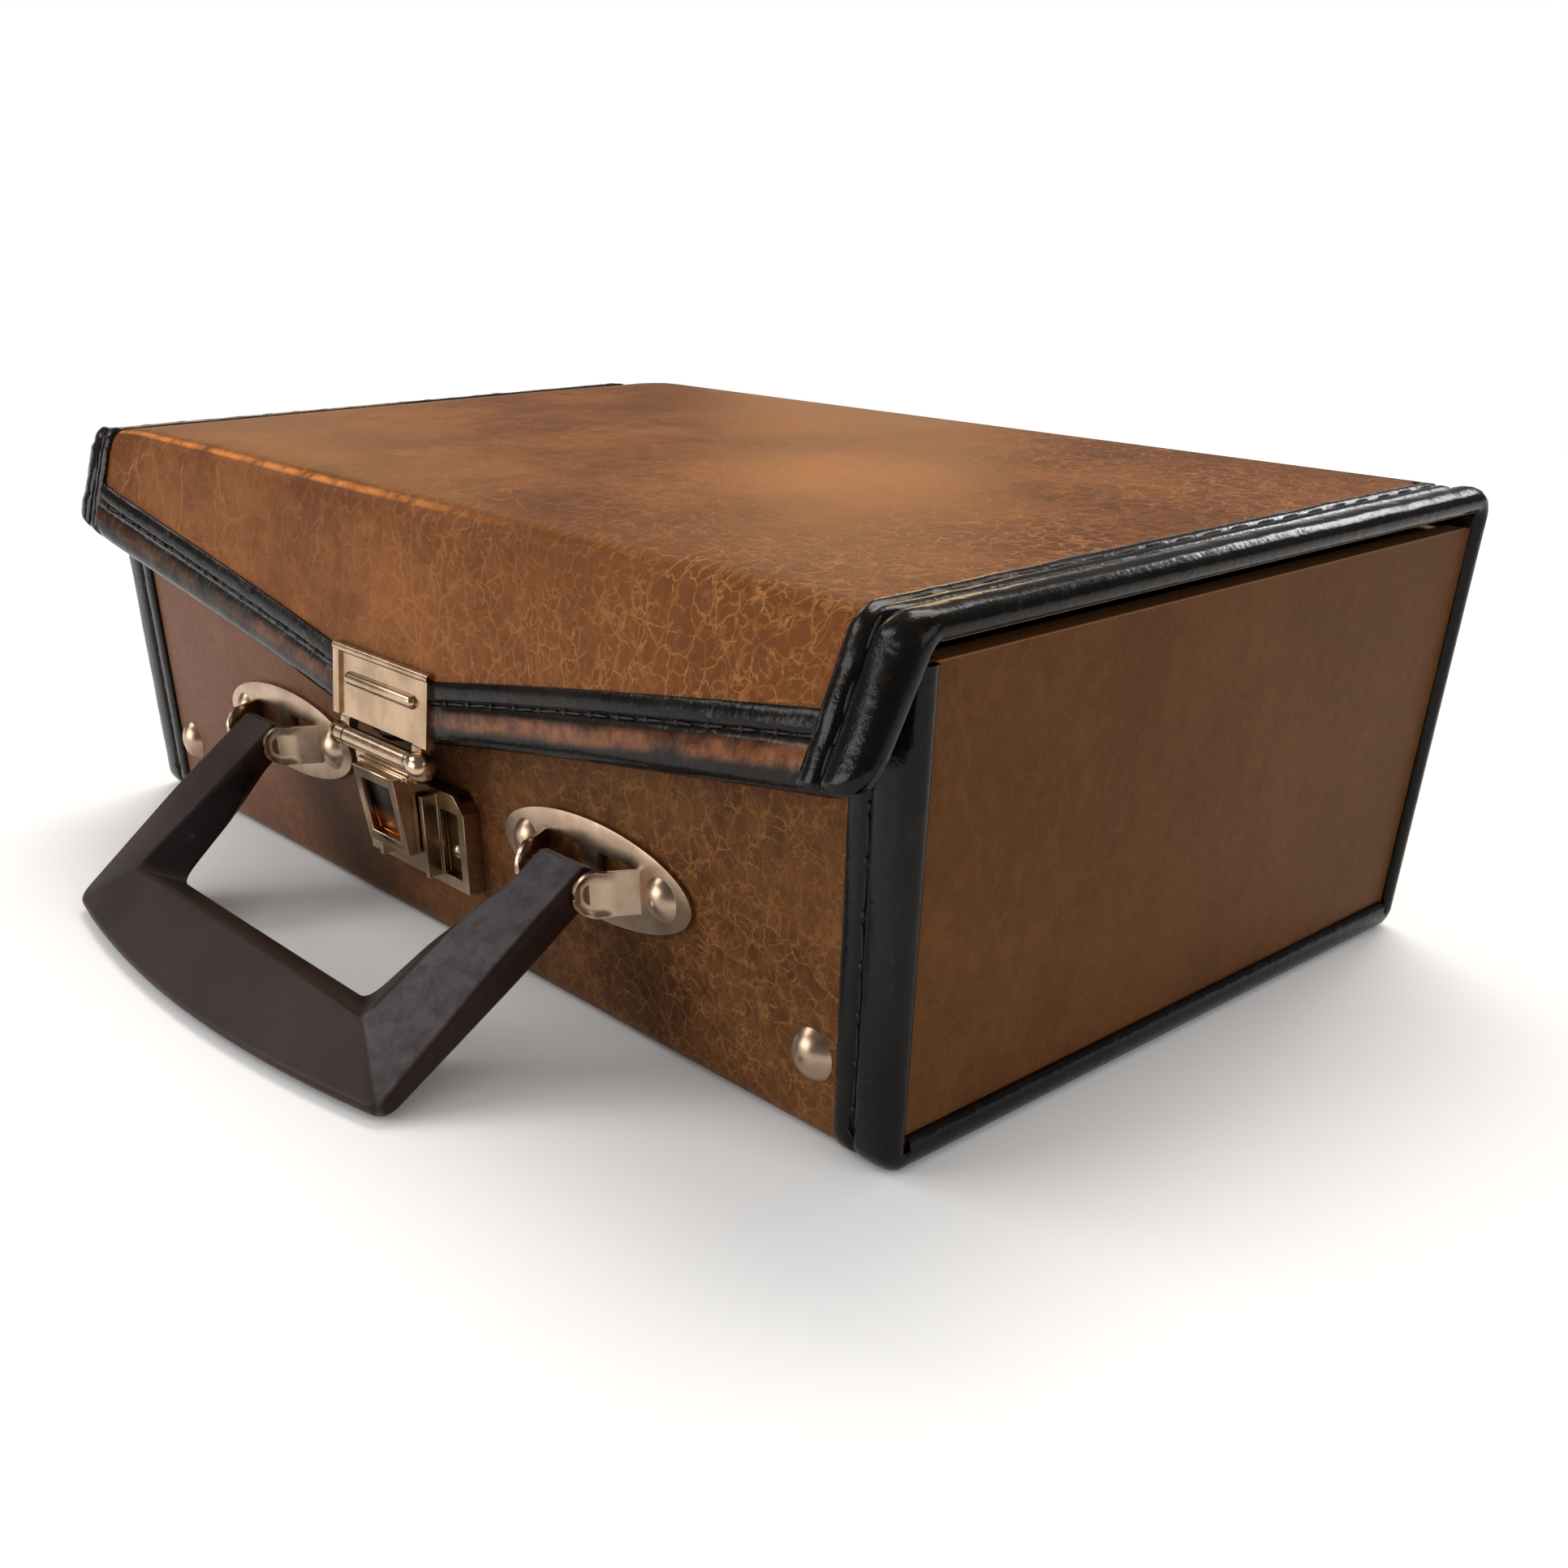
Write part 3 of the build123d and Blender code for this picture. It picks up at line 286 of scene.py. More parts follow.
def front_sheen(place, colour, mottle, fleck):
    """The front is painted lighter and greyer towards the left: a painted sheen."""
    x, y, _ = place.split()
    # painted sheen over the left part of the front
    painted_sheen = (1 - x.ease(-0.12, -0.01)) * (1 - y.ease(-0.0765, -0.0755)) * (0.25 + 0.40 * mottle + 0.20 * fleck)
    return painted_sheen.tint(colour, (0.215, 0.104, 0.070, 1))


def top_edge_highlight(place, colour, _):
    """The upper cut edge of a side panel is painted as a light line: a painted highlight."""
    return place.split()[2].ease(0.0797, 0.0800).tint(colour, side_line_and_highlight)


box_vinyl = vinyl("box_vinyl", (0.048, 0.018, 0.006, 1), (0.122, 0.047, 0.015, 1), (0.245, 0.104, 0.033, 1),
                  shine=0.10, crackle=0.85, wrinkle=0.30, streak=0.3, under=front_sheen)
side_vinyl = vinyl("side_vinyl", (0.080, 0.031, 0.009, 1), (0.112, 0.045, 0.015, 1), side_line_and_highlight,
                   shine=0.05, crackle=0.30, wrinkle=0.25, streak=0.8, over=top_edge_highlight)
dress("body_cover", box_vinyl)
dress("left_side_cover", side_vinyl)
dress("right_side_cover", side_vinyl)


# ---- Bindings of the box ----
# A strip of soft black-brown vinyl is folded over each side edge of the box, front, bottom
# and back, and lock-stitched through the board with dark thread.
box_front = 77.0
box_edge = 130.0
box_top = 80.1
box_corner = 4.0
# across the strip: how far in from the case's side, and how high above its face
box_section = [(13, -1.1), (13, 0.2), (12.85, 0.65), (12.3, 0.92), (11.2, 1.02), (10.0, 0.98), (9.3, 0.82),
               (8.95, 0.4), (8.75, 0.3), (8.5, 0.4), (8.1, 0.84), (7.2, 1.04), (5.6, 1.1), (3.8, 1.05), (2.4, 0.9),
               (1.3, 0.5), (0.5, -0.2), (0.1, -1.0), (0.05, -1.8), (0.3, -2.6), (0.9, -3.1), (1.75, -3.2),
               (1.75, -1.3), (3.0, -1.1)]
box_seam = (8.75, 0.42)


def solid(name, points, faces, made, sharp=38.0):
    """A closed piece from points in millimetres, its faces outward and its curves smooth."""
    skin = bpy.data.meshes.new(name)
    skin.from_pydata([[c * 0.001 for c in point] for point in points], [], faces)
    shape = bmesh.new()
    shape.from_mesh(skin)
    bmesh.ops.remove_doubles(shape, verts=shape.verts, dist=1e-6)
    bmesh.ops.recalc_face_normals(shape, faces=shape.faces)
    shape.to_mesh(skin)
    shape.free()
    skin.materials.append(made)
    skin.shade_smooth()
    skin.set_sharp_from_angle(angle=math.radians(sharp))
    piece = bpy.data.objects.new(name, skin)
    bpy.context.scene.collection.objects.link(piece)
    return piece


def swept(rings):
    """The points and faces of closed rings joined one to the next, with capped ends."""
    count = len(rings[0])
    points = [point for ring in rings for point in ring]
    faces = [tuple(range(count))[::-1]]
    for i in range(len(rings) - 1):
        for j in range(count):
            k = (j + 1) % count
            faces.append((i * count + j, i * count + k, (i + 1) * count + k, (i + 1) * count + j))
    faces.append(tuple(range((len(rings) - 1) * count, len(rings) * count)))
    return points, faces


def settle(piece, body, slot, *nodes):
    """The piece moves with its body and stands for the nodes that it covers."""
    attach(piece, body)
    if nodes:
        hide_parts(*nodes)


def uneven(point, size, reach):
    """A small hand-made irregularity, in millimetres, the same each time."""
    return reach * noise.noise(Vector(point) / size)


def box_path():
    """Places down the front, under the bottom and up the back, each with its way out."""
    down_steps = 38
    turn_steps = 8
    under_steps = 72
    front = [(-box_front, box_top + (box_corner - box_top) * i / down_steps, -1.0, 0.0, 0.0)
             for i in range(down_steps)]
    for i in range(turn_steps + 1):
        turn = math.pi + math.pi / 2 * i / turn_steps
        front.append((-box_front + box_corner + box_corner * math.cos(turn), box_corner + box_corner * math.sin(turn),
                      math.cos(turn), math.sin(turn), i / turn_steps))
    bottom = [((box_corner - box_front) + 2 * (box_front - box_corner) * i / under_steps, 0.0, 0.0, -1.0, 1.0)
              for i in range(1, under_steps)]
    return front + bottom + [(-y, z, -out_y, out_z, under) for y, z, out_y, out_z, under in reversed(front)]


def box_strip_point(side, inward, high, place):
    """A point of the strip, thinner under the box, so that the box stands on the table."""
    y, z, out_y, out_z, under = place
    if high < 0 and inward < 2:
        high *= 1 + 0.6 * under
    high -= 1.1 * under
    x = side * (box_edge - inward)
    if high > -1 and under < 0.5:
        high += uneven((x, y, z), 3.2, 0.10) + uneven((x, y, z), 11.0, 0.10)
    return (x, y + out_y * high, max(0.0, z + out_z * high))


def binding_vinyl(name, dark, plain, light, shine, extra_paint=None):
    """Soft glossy binding with fine wrinkles and a little wear, which a function can add to."""
    made, shader, place = begin(name, Specular_IOR_Level=shine)
    crease = cloud(place, 330.0, 4.0, 0.65)
    pebble = place.node("TexVoronoi", {"feature": "SMOOTH_F1"}, {"Vector": place, "Scale": 900.0})
    wear = cloud(place, 46.0, 4.0, 0.6)
    colour = wear.ease(0.40, 0.70).tint(dark, plain)
    colour = (crease.ease(0.56, 0.74) * 0.6).tint(colour, light)
    if extra_paint:
        colour = extra_paint(place, colour, crease, wear)
    place.feed(shader.inputs["Base Color"], colour)
    place.feed(shader.inputs["Roughness"], 0.09 + 0.13 * wear + 0.07 * crease)
    relief(shader, crease * 0.7 + pebble * 0.12 + wear * 1.0, 0.40, 0.0005)
    return made


black_binding = binding_vinyl("black_binding", (0.0030, 0.0026, 0.0022, 1), (0.006, 0.0048, 0.0038, 1),
                              (0.020, 0.013, 0.009, 1), shine=0.17)
for side, word in ((-1, "left"), (1, "right")):
    rings = [[box_strip_point(side, inward, high, place) for inward, high in box_section] for place in box_path()]
    strip = solid(word + "_box_binding", *swept(rings), black_binding)
    settle(strip, "case_body", "dark_binding", word + "_body_binding")


# ---- Stitching ----
# Dark waxed thread lies in each binding's groove, a stitch every 7 to 8 mm. One tree lays
# a row of short, slightly uneven stitches along any seam line, or the knots between them.
stitching = bpy.data.node_groups.new("stitch_row", "GeometryNodeTree")
stitching.interface.new_socket("Seam", in_out="INPUT", socket_type="NodeSocketGeometry")
stitch_inputs = {}
for label, kind in (("Pitch", "Float"), ("Length", "Float"), ("Thickness", "Float"), ("Seed", "Int"),
                    ("Thread", "Material")):
    made = stitching.interface.new_socket(label, in_out="INPUT", socket_type="NodeSocket" + kind)
    stitch_inputs[label] = made.identifier
stitching.interface.new_socket("Stitches", in_out="OUTPUT", socket_type="NodeSocketGeometry")


def part_of(tree, kind, settings=None, links=None):
    """Adds a node to a tree of stitches, sets it, and links what feeds it."""
    made = tree.nodes.new(kind)
    for name, value in (settings or {}).items():
        setattr(made, name, value)
    for name, value in (links or {}).items():
        if hasattr(value, "node"):
            tree.links.new(value, made.inputs[name])
        else:
            made.inputs[name].default_value = value
    return made


given = part_of(stitching, "NodeGroupInput")
seam_curve = part_of(stitching, "GeometryNodeMeshToCurve", None, {0: given.outputs["Seam"]})
spaced = part_of(stitching, "GeometryNodeResampleCurve", {"mode": "LENGTH"}, {"Curve": seam_curve.outputs[0]})
stitching.links.new(given.outputs["Pitch"], next(s for s in spaced.inputs if s.name == "Length"))
run = part_of(stitching, "GeometryNodeInputTangent")
aim = part_of(stitching, "FunctionNodeAlignRotationToVector", {"axis": "X"}, {"Vector": run.outputs[0]})
wobble = part_of(stitching, "FunctionNodeRandomValue", {"data_type": "FLOAT_VECTOR"},
                 {0: (-0.03, -0.05, -0.05), 1: (0.03, 0.05, 0.05), "Seed": given.outputs["Seed"]})
tip = part_of(stitching, "FunctionNodeRotateRotation", {"rotation_space": "LOCAL"},
              {0: aim.outputs[0], 1: wobble.outputs[0]})
bead = part_of(stitching, "GeometryNodeMeshUVSphere", None, {"Segments": 8, "Rings": 6, "Radius": 1.0})
half_length = part_of(stitching, "ShaderNodeMath", {"operation": "MULTIPLY"}, {0: given.outputs["Length"], 1: 0.5})
half_thick = part_of(stitching, "ShaderNodeMath", {"operation": "MULTIPLY"}, {0: given.outputs["Thickness"], 1: 0.5})
stitch_size = part_of(stitching, "ShaderNodeCombineXYZ", None,
                      {0: half_length.outputs[0], 1: half_thick.outputs[0], 2: half_thick.outputs[0]})
laid = part_of(stitching, "GeometryNodeInstanceOnPoints", None,
               {"Points": spaced.outputs[0], "Instance": bead.outputs[0], "Rotation": tip.outputs[0],
                "Scale": stitch_size.outputs[0]})
real = part_of(stitching, "GeometryNodeRealizeInstances", None, {0: laid.outputs[0]})
coloured = part_of(stitching, "GeometryNodeSetMaterial", None,
                   {"Geometry": real.outputs[0], "Material": given.outputs["Thread"]})
part_of(stitching, "NodeGroupOutput", None, {0: coloured.outputs[0]})

thread, shader, place = begin("dark_thread", Specular_IOR_Level=0.3)
twist = cloud(place, 2600.0, 2.0)
place.feed(shader.inputs["Base Color"], twist.tint((0.004, 0.003, 0.003, 1), (0.022, 0.016, 0.013, 1)))
place.feed(shader.inputs["Roughness"], 0.45 + 0.2 * twist)
relief(shader, twist, 0.5, 0.0002)


def stitches(name, seams, pitch, length, thickness, seed, body):
    """Lays stitches along lines of points in millimetres and leaves a plain mesh."""
    points = [[c * 0.001 for c in point] for seam in seams for point in seam]
    edges = []
    start = 0
    for seam in seams:
        edges += [(i, i + 1) for i in range(start, start + len(seam) - 1)]
        start += len(seam)
    line = bpy.data.meshes.new(name)
    line.from_pydata(points, edges, [])
    row = bpy.data.objects.new(name, line)
    bpy.context.scene.collection.objects.link(row)
    laying = row.modifiers.new("stitches", "NODES")
    laying.node_group = stitching
    for label, value in (("Pitch", pitch * 0.001), ("Length", length * 0.001), ("Thickness", thickness * 0.001),
                         ("Seed", seed), ("Thread", thread)):
        laying[stitch_inputs[label]] = value
    graph = bpy.context.evaluated_depsgraph_get()
    sewn = bpy.data.meshes.new_from_object(row.evaluated_get(graph), depsgraph=graph)
    row.modifiers.remove(laying)
    row.data = sewn
    sewn.name = name
    sewn.shade_smooth()
    settle(row, body, "dark_binding")


def half_on(seam, gap):
    """The same seam with a start further on, for the knots where the thread dives between stitches."""
    for i in range(len(seam) - 1):
        step = math.dist(seam[i], seam[i + 1])
        if step >= gap:
            return [[a + (b - a) * gap / step for a, b in zip(seam[i], seam[i + 1])]] + seam[i + 1:]
        gap -= step


box_pitch = 8.2
box_rows = [[box_strip_point(side, *box_seam, place) for place in box_path()] for side in (-1, 1)]
box_knots = [half_on(row, box_pitch / 2) for row in box_rows]
stitches("box_stitches", box_rows, box_pitch, length=7.2, thickness=0.5, seed=3, body="case_body")
stitches("box_stitch_knots", box_knots, box_pitch, length=1.3, thickness=1.0, seed=4, body="case_body")


# ---- Linings, tray and dividers ----
# Brown flocked paper lines the box, and a dull brown tray formed in one piece, with its
# dividers, holds the cassettes upright in two rows.
flock, shader, place = begin("flock", Specular_IOR_Level=0.1, Roughness=0.95)
nap = cloud(place, 1500.0, 3.0, 0.7)
pile = cloud(place, 30.0, 3.0)
place.feed(shader.inputs["Base Color"],
           (nap * 0.6 + pile * 0.4).ease(0.35, 0.65).tint((0.12, 0.060, 0.036, 1), (0.21, 0.115, 0.070, 1)))
relief(shader, nap, 0.5, 0.0003)
dress("body_lining", flock)
dress("lid_lining", flock)

tray_plastic, shader, place = begin("tray_plastic", Specular_IOR_Level=0.35)
haze = cloud(place, 60.0, 3.0)
grit = cloud(place, 2200.0, 2.0)
place.feed(shader.inputs["Base Color"], haze.ease(0.3, 0.7).tint((0.080, 0.050, 0.038, 1), (0.120, 0.078, 0.060, 1)))
place.feed(shader.inputs["Roughness"], 0.42 + 0.2 * haze)
relief(shader, grit, 0.3, 0.0001)
for node in ("cassette_tray", "left_tray_dividers", "right_tray_dividers"):
    dress(node, tray_plastic)


# ---- Lid and flap ----
# One sheet of the same vinyl covers the lid, folds over its front edge and hangs down as
# a flap with a thinner board inside, pulled forward at its two lower corners.
lid_top = 86.4
lid_back = 72.6
lid_edge = 132.1
cover_edge = 131.3
fold_front = -79.4
fold_round = 5.5
flap_middle = 17.0
flap_lowest = 42.3
flap_rise = 0.1787
lean_middle = 0.135
lean_left = 0.42
lean_right = 0.56
left_droop = 2.9
left_roll = 2.2


def lean(x):
    """How far the flap leans forward, for each millimetre down."""
    corner = lean_right if x > 0 else lean_left
    return lean_middle + (corner - lean_middle) * (max(0.0, abs(x) - flap_middle) / (lid_edge - flap_middle)) ** 2


def flap_low(x):
    """The height of the flap's lower edge, a wide V."""
    return flap_lowest + flap_rise * abs(x)


def droop(x):
    """How far the lid sags at its left side."""
    return left_droop * (max(0.0, -x - 104) / 28) ** 1.5


def curl(x):
    """How far the flap's left edge curls back."""
    return left_roll * (max(0.0, -x - 112) / 20) ** 2


def flap_face(x, z):
    """A place on the flap's outer face and its way out."""
    tilt = math.atan(lean(x))
    return (fold_front - lean(x) * (lid_top - z) + curl(x), z), (-math.cos(tilt), math.sin(tilt))


def lid_face(x, part, trim=0.0):
    """A place on the lid's face: 0 to 1 along the top, 1 to 2 round the fold, 2 to 3 down."""
    tilt = math.atan(lean(x))
    middle = (fold_front + fold_round * math.tan((math.pi / 2 - tilt) / 2), lid_top - fold_round)
    if part <= 1:
        corner = min(1.0, max(0.0, (abs(x) - 117.2) / 1.6)) if trim else 0.0
        back = lid_back - 4.8 * corner
        y = back + (middle[0] - back) * part
        swell = 0.45 * (1 - min(1.0, abs(x) / 124) ** 4) * (1 - ((y + 3) / 76) ** 4)
        return (y, lid_top + max(0.0, swell) - droop(x)), (0.0, 1.0)
    if part <= 2:
        turn = math.pi / 2 + (math.pi / 2 - tilt) * (part - 1)
        out = (math.cos(turn), math.sin(turn))
        y = middle[0] + fold_round * out[0] + curl(x) * (part - 1)
        return (y, middle[1] + fold_round * out[1] - droop(x) * (1 - 0.5 * (part - 1))), out
    turn = math.pi - tilt
    high = middle[1] + fold_round * math.sin(turn) - 0.5 * droop(x)
    low = flap_low(x) + trim
    if trim:
        beyond = min(6.0, max(0.0, abs(x) - cover_edge + 6.0))
        low += 6.0 - math.sqrt(36.0 - beyond ** 2)
    (y, z), out = flap_face(x, high + (low - high) * (part - 2))
    return (y, z), out


def lifted(x, place, high):
    """A point at a height over a place, along its way out."""
    (y, z), (out_y, out_z) = place
    return (x, y + out_y * high, z + out_z * high)


def shell(outer, inner):
    """The points and faces of a sheet between two grids of points with the same size."""
    rows = len(outer)
    columns = len(outer[0])
    points = [point for grid in (outer, inner) for row in grid for point in row]
    faces = []
    for i in range(rows - 1):
        for j in range(columns - 1):
            a = i * columns + j
            faces.append((a, a + 1, a + columns + 1, a + columns))
            b = a + rows * columns
            faces.append((b, b + columns, b + columns + 1, b + 1))
    rim = list(range(columns)) + [i * columns + columns - 1 for i in range(1, rows)]
    rim += [(rows - 1) * columns + j for j in range(columns - 2, -1, -1)]
    rim += [i * columns for i in range(rows - 2, 0, -1)]
    for i in range(len(rim)):
        a = rim[i]
        b = rim[(i + 1) % len(rim)]
        faces.append((b, a, a + rows * columns, b + rows * columns))
    return points, faces


def lid_sheet(start, depth, thick, edge, wave, end=3.0):
    """A layer of the lid and flap, from a depth under the face to a greater one."""
    outer = []
    inner = []
    columns = 66
    parts = [i / 38 for i in range(39)] + [1 + i / 10 for i in range(1, 11)] + [2 + i / 11 for i in range(1, 12)]
    for part in [part for part in parts if start <= part <= end]:
        row = []
        back = []
        for i in range(columns + 1):
            x = -edge + 2 * edge * i / columns
            place = lid_face(x, part, 1.5)
            fade = min(1.0, max(0.0, (119.0 - abs(x)) / 8.0))
            swell = wave * fade * (0.5 + uneven((x, place[0][0], place[0][1]), 34.0, 0.9)) if wave else 0.0
            row.append(lifted(x, place, swell - depth if part < 2.9 else -depth))
            back.append(lifted(x, place, -depth - thick))
        outer.append(row)
        inner.append(back)
    return shell(outer, inner)


lid_dark = (0.115, 0.036, 0.009, 1)


def lid_sheen_and_shade(place, colour, mottle, _):
    """The lid has a painted sheen, a lighter patch right of its middle, and painted shade by the right end of its
    front fold.
    """
    x, y, _ = place.split()
    away = place.node("VectorMath", {"operation": "DISTANCE"}, {0: place, 1: (0.046, -0.008, 0.0866)}, 1)
    # painted sheen: a lighter warm patch right of the lid's middle
    extra_paint = (1 - away.ease(0.004, 0.046)) * (0.12 + 0.36 * mottle)
    # painted shade over the right front of the lid and the flap's right side
    painted_shade = x.ease(0.0, 0.07) * (1 - y.ease(-0.070, -0.045)) * 0.62
    return painted_shade.tint(extra_paint.tint(colour, (0.50, 0.200, 0.045, 1)), lid_dark)


def fold_highlight(place, colour, fleck):
    """The front fold is painted light along a narrow line, towards the left: a painted highlight."""
    x, y, z = place.split()
    line = y.ease(-0.0787, -0.0781) * (1 - y.ease(-0.0778, -0.0768)) * z.ease(0.0820, 0.0830)
    # painted highlight along the fold, grainy, fading out towards the right
    band_mask = line * (1 - x.ease(-0.02, 0.05)) * (0.15 + 1.1 * fleck.ease(0.30, 0.62))
    return (band_mask * 0.75).tint(colour, (0.62, 0.215, 0.055, 1))


lid_vinyl = vinyl("lid_vinyl", lid_dark, (0.215, 0.075, 0.021, 1), (0.37, 0.150, 0.045, 1),
                  shine=0.07, crackle=1.0, wrinkle=0.45, streak=0.9, under=lid_sheen_and_shade, over=fold_highlight)
under_vinyl = 1.03
lid_cover = solid("lid_vinyl_cover", *lid_sheet(0.0, 0.0, 1.0, cover_edge, 0.22), lid_vinyl)
settle(lid_cover, "lid", "lid_vinyl", "lid_cover")
flap_core = solid("flap_core", *lid_sheet(1.4, under_vinyl, 1.1, cover_edge, 0), strawboard)
settle(flap_core, "lid", "case_board", "flap_board")
lid_core = solid("lid_core", *lid_sheet(0.0, under_vinyl, 1.75, cover_edge, 0, 1.0), strawboard)
settle(lid_core, "lid", "case_board", "lid_board")
flap_back = solid("flap_back_lining", *lid_sheet(1.4, 2.17, 0.4, 119.0, 0), flock)
settle(flap_back, "lid", "flock_lining", "flap_lining")


# ---- Bindings of the lid and flap ----
# The same soft strip is folded over the lid's side edges and round the flap: the lower
# strip, worn browner, is sewn first, and the side strips go over its ends.
top_section = [(13, 0.05), (12.9, 0.5), (12.3, 0.75), (11.4, 0.8), (10.9, 0.6), (10.3, 0.3), (9.7, 0.6), (8.6, 0.75),
               (7.5, 0.6), (7.15, 0.35), (6.8, 0.38), (6.1, 0.75), (4.6, 1.1), (3.0, 1.15), (1.5, 0.8), (0.5, 0.0),
               (0.05, -1.0), (0.15, -1.9), (0.7, -2.7), (1.8, -3.05), (7, -3.1), (12.4, -3.1), (12.5, -2.9),
               (7, -2.9), (2.2, -2.88), (1.3, -2.0), (1.2, -0.6), (2.4, 0), (7.5, 0.02)]
down_section = [(13, 0.05), (12.9, 0.65), (12.3, 1.0), (11.6, 1.15), (10.9, 1.2), (10.3, 1.15), (9.7, 1.05),
                (9.1, 0.85), (8.75, 0.45), (8.5, 0.3), (8.3, 0.35), (7.9, 0.85), (6.6, 1.25), (4.6, 1.35),
                (2.6, 1.15), (1.1, 0.5), (0.25, -0.5), (0.0, -1.5), (0.3, -2.6), (1.3, -3.2), (7, -3.2),
                (12.4, -3.1), (12.5, -2.75), (7, -2.8), (2.0, -2.75), (1.2, -1.9), (1.2, -0.6), (2.4, 0), (7.5, 0.02)]
corner_round = 5.0
back_round = 4.2


def side_places():
    """Steps along a side strip: round its back end, forward, round the fold, down the flap."""
    steps = [("end", -0.4), ("end", -0.2)] + [("end", i / 8) for i in range(9)]
    steps += [("face", 0.031 + 0.969 * i / 74) for i in range(1, 75)]
    steps += [("face", 1 + i / 12) for i in range(1, 13)]
    steps += [("face", 2 + 0.92 * i / 14) for i in range(1, 15)]
    steps += [("face", 2 + 0.92 + 0.08 * math.sin(math.pi / 2 * i / 6)) for i in range(1, 7)]
    return steps


def side_strip_point(side, index, step, lift=0.0):
    """The strip's section changes round the fold, from a roll with a sewn band to two bands."""
    kind, part = step
    down = 0.0 if kind == "end" else min(1.0, max(0.0, (part - 1.0) / 0.9))
    down = down * down * (3 - 2 * down)
    inward = top_section[index][0] + (down_section[index][0] - top_section[index][0]) * down
    high = top_section[index][1] + (down_section[index][1] - top_section[index][1]) * down + lift
    x = side * (lid_edge - inward)
    if kind == "end":
        turn = math.pi / 2 * max(0.0, part)
        out = (math.cos(turn), math.sin(turn))
        fall = droop(x) - back_round * min(0.0, part)
        place = ((lid_back - 4.6 + back_round * out[0], lid_top - back_round - fall + back_round * out[1]), out)
    elif part <= 2:
        place = lid_face(x, part)
    else:
        top = lid_face(x, 2)[0][1]
        low = flap_low(x)
        if inward < corner_round:
            low += corner_round - math.sqrt(corner_round ** 2 - (corner_round - inward) ** 2)
        place = flap_face(x, top + (low - top) * (part - 2))
        if part > 2.92:
            # the lower end is rounded off towards the middle of the strip's thickness
            middle = -1.0
            high = middle + (high - middle) * math.sqrt(max(0.02, 1 - ((part - 2.92) / 0.08) ** 2))
    if high > 0.3:
        wrinkle = 0.10 + 0.16 * down
        y, z = place[0]
        high += uneven((x * 0.4, y, z), 2.4, wrinkle) + uneven((x, y, z), 9.0, 0.14)
    if side < 0 and part <= 1.3 and high > 0:
        high *= 0.6
    return lifted(x, place, high)


side_rows = []
for side, word in ((-1, "left"), (1, "right")):
    steps = side_places()
    rings = [[side_strip_point(side, index, step) for index in range(len(top_section))] for step in steps]
    strip = solid(word + "_lid_strip", *swept(rings), black_binding)
    settle(strip, "lid", "dark_binding", word + "_lid_binding")
    faces = [step for step in steps if step[0] == "face"]
    side_rows.append([side_strip_point(side, 5, step, 0.1) for step in faces if step[1] < 0.97])
    side_rows.append([side_strip_point(side, 9, step, 0.1) for step in faces if 1.9 < step[1] < 2.85])
lid_pitch = 7.2
stitches("lid_side_stitches", side_rows, lid_pitch, length=5.0, thickness=0.8, seed=5, body="lid")

flap_strip_end = 119.6
flap_section = [(11.5, 0.05), (11.4, 0.55), (10.9, 0.85), (9.8, 0.98), (8.6, 0.92), (8.05, 0.7), (7.8, 0.35),
                (7.4, 0.35), (7.1, 0.72), (6.0, 1.0), (4.4, 1.08), (2.8, 1.0), (1.5, 0.7), (0.5, 0.05),
                (0.05, -0.8), (0.1, -1.9), (0.6, -2.8), (1.6, -3.2), (6.0, -3.25), (11.0, -3.1), (11.2, -2.65),
                (6.0, -2.6), (1.9, -2.5), (1.2, -1.9), (1.1, -0.9), (1.3, -0.2), (2.3, 0.0), (7.0, 0.02)]


def flap_strip_point(x, up, high):
    """A point of the lower strip, which lies flatter where the hasp's leaf covers it."""
    place = flap_face(x, flap_low(x) + up * math.cos(math.atan(lean(x))))
    if high > 0.2:
        at = (x, *place[0])
        high += uneven(at, 2.6, 0.13) + uneven(at, 8.0, 0.13)
        high = min(high, 0.75) if abs(x) < 18 else high
    return lifted(x, place, high)


def flap_band(place, colour, crease, wear):
    """A coppery band along the strip's middle, fainter towards the left."""
    x, _, z = place.split()
    up = z - flap_rise * x.size() - flap_lowest * 0.001 + 0.0016 * (wear - 0.5)
    band_mask = up.ease(0.0024, 0.0040) * (1 - up.ease(0.0050, 0.0068)) * cloud(place, 60.0, 5.0, 0.65).ease(0.26, 0.56)
    copper = (crease * 0.5 + wear * 0.5).ease(0.35, 0.65).tint((0.055, 0.019, 0.008, 1), (0.24, 0.092, 0.037, 1))
    return (band_mask * (0.35 + 0.65 * x.ease(-0.11, 0.03))).tint(colour, copper)


worn_binding = binding_vinyl("worn_binding", (0.004, 0.0034, 0.0028, 1), (0.009, 0.0065, 0.005, 1),
                             (0.032, 0.018, 0.011, 1), shine=0.13, extra_paint=flap_band)
flap_steps = 120
flap_xs = [-flap_strip_end + 2 * flap_strip_end * i / flap_steps for i in range(flap_steps + 1)]
rings = [[flap_strip_point(x, up, high) for up, high in flap_section] for x in flap_xs]
settle(solid("flap_strip", *swept(rings), worn_binding), "lid", "dark_binding", "flap_binding")
flap_rows = [[flap_strip_point(x, 7.6, 0.5) for x in flap_xs if side * x > 17.5] for side in (-1, 1)]
flap_knots = [half_on(row, lid_pitch / 2) for row in flap_rows]
stitches("flap_stitches", flap_rows, lid_pitch, length=6.2, thickness=0.5, seed=9, body="lid")
stitches("flap_stitch_knots", flap_knots, lid_pitch, length=1.3, thickness=1.0, seed=10, body="lid")


# ---- Hinge fold ----
# The lid turns on a doubled strip of the cover vinyl, glued and sewn to the back edge of
# the lid and to the outside of the back.
fold_end = 119.0
fold_steps = 60
fold_foot = 74.12
fold_lap = 72.8
fold_thick = 1.15
fold_turn = 3.0
turn_middle = (74.0, 83.4)


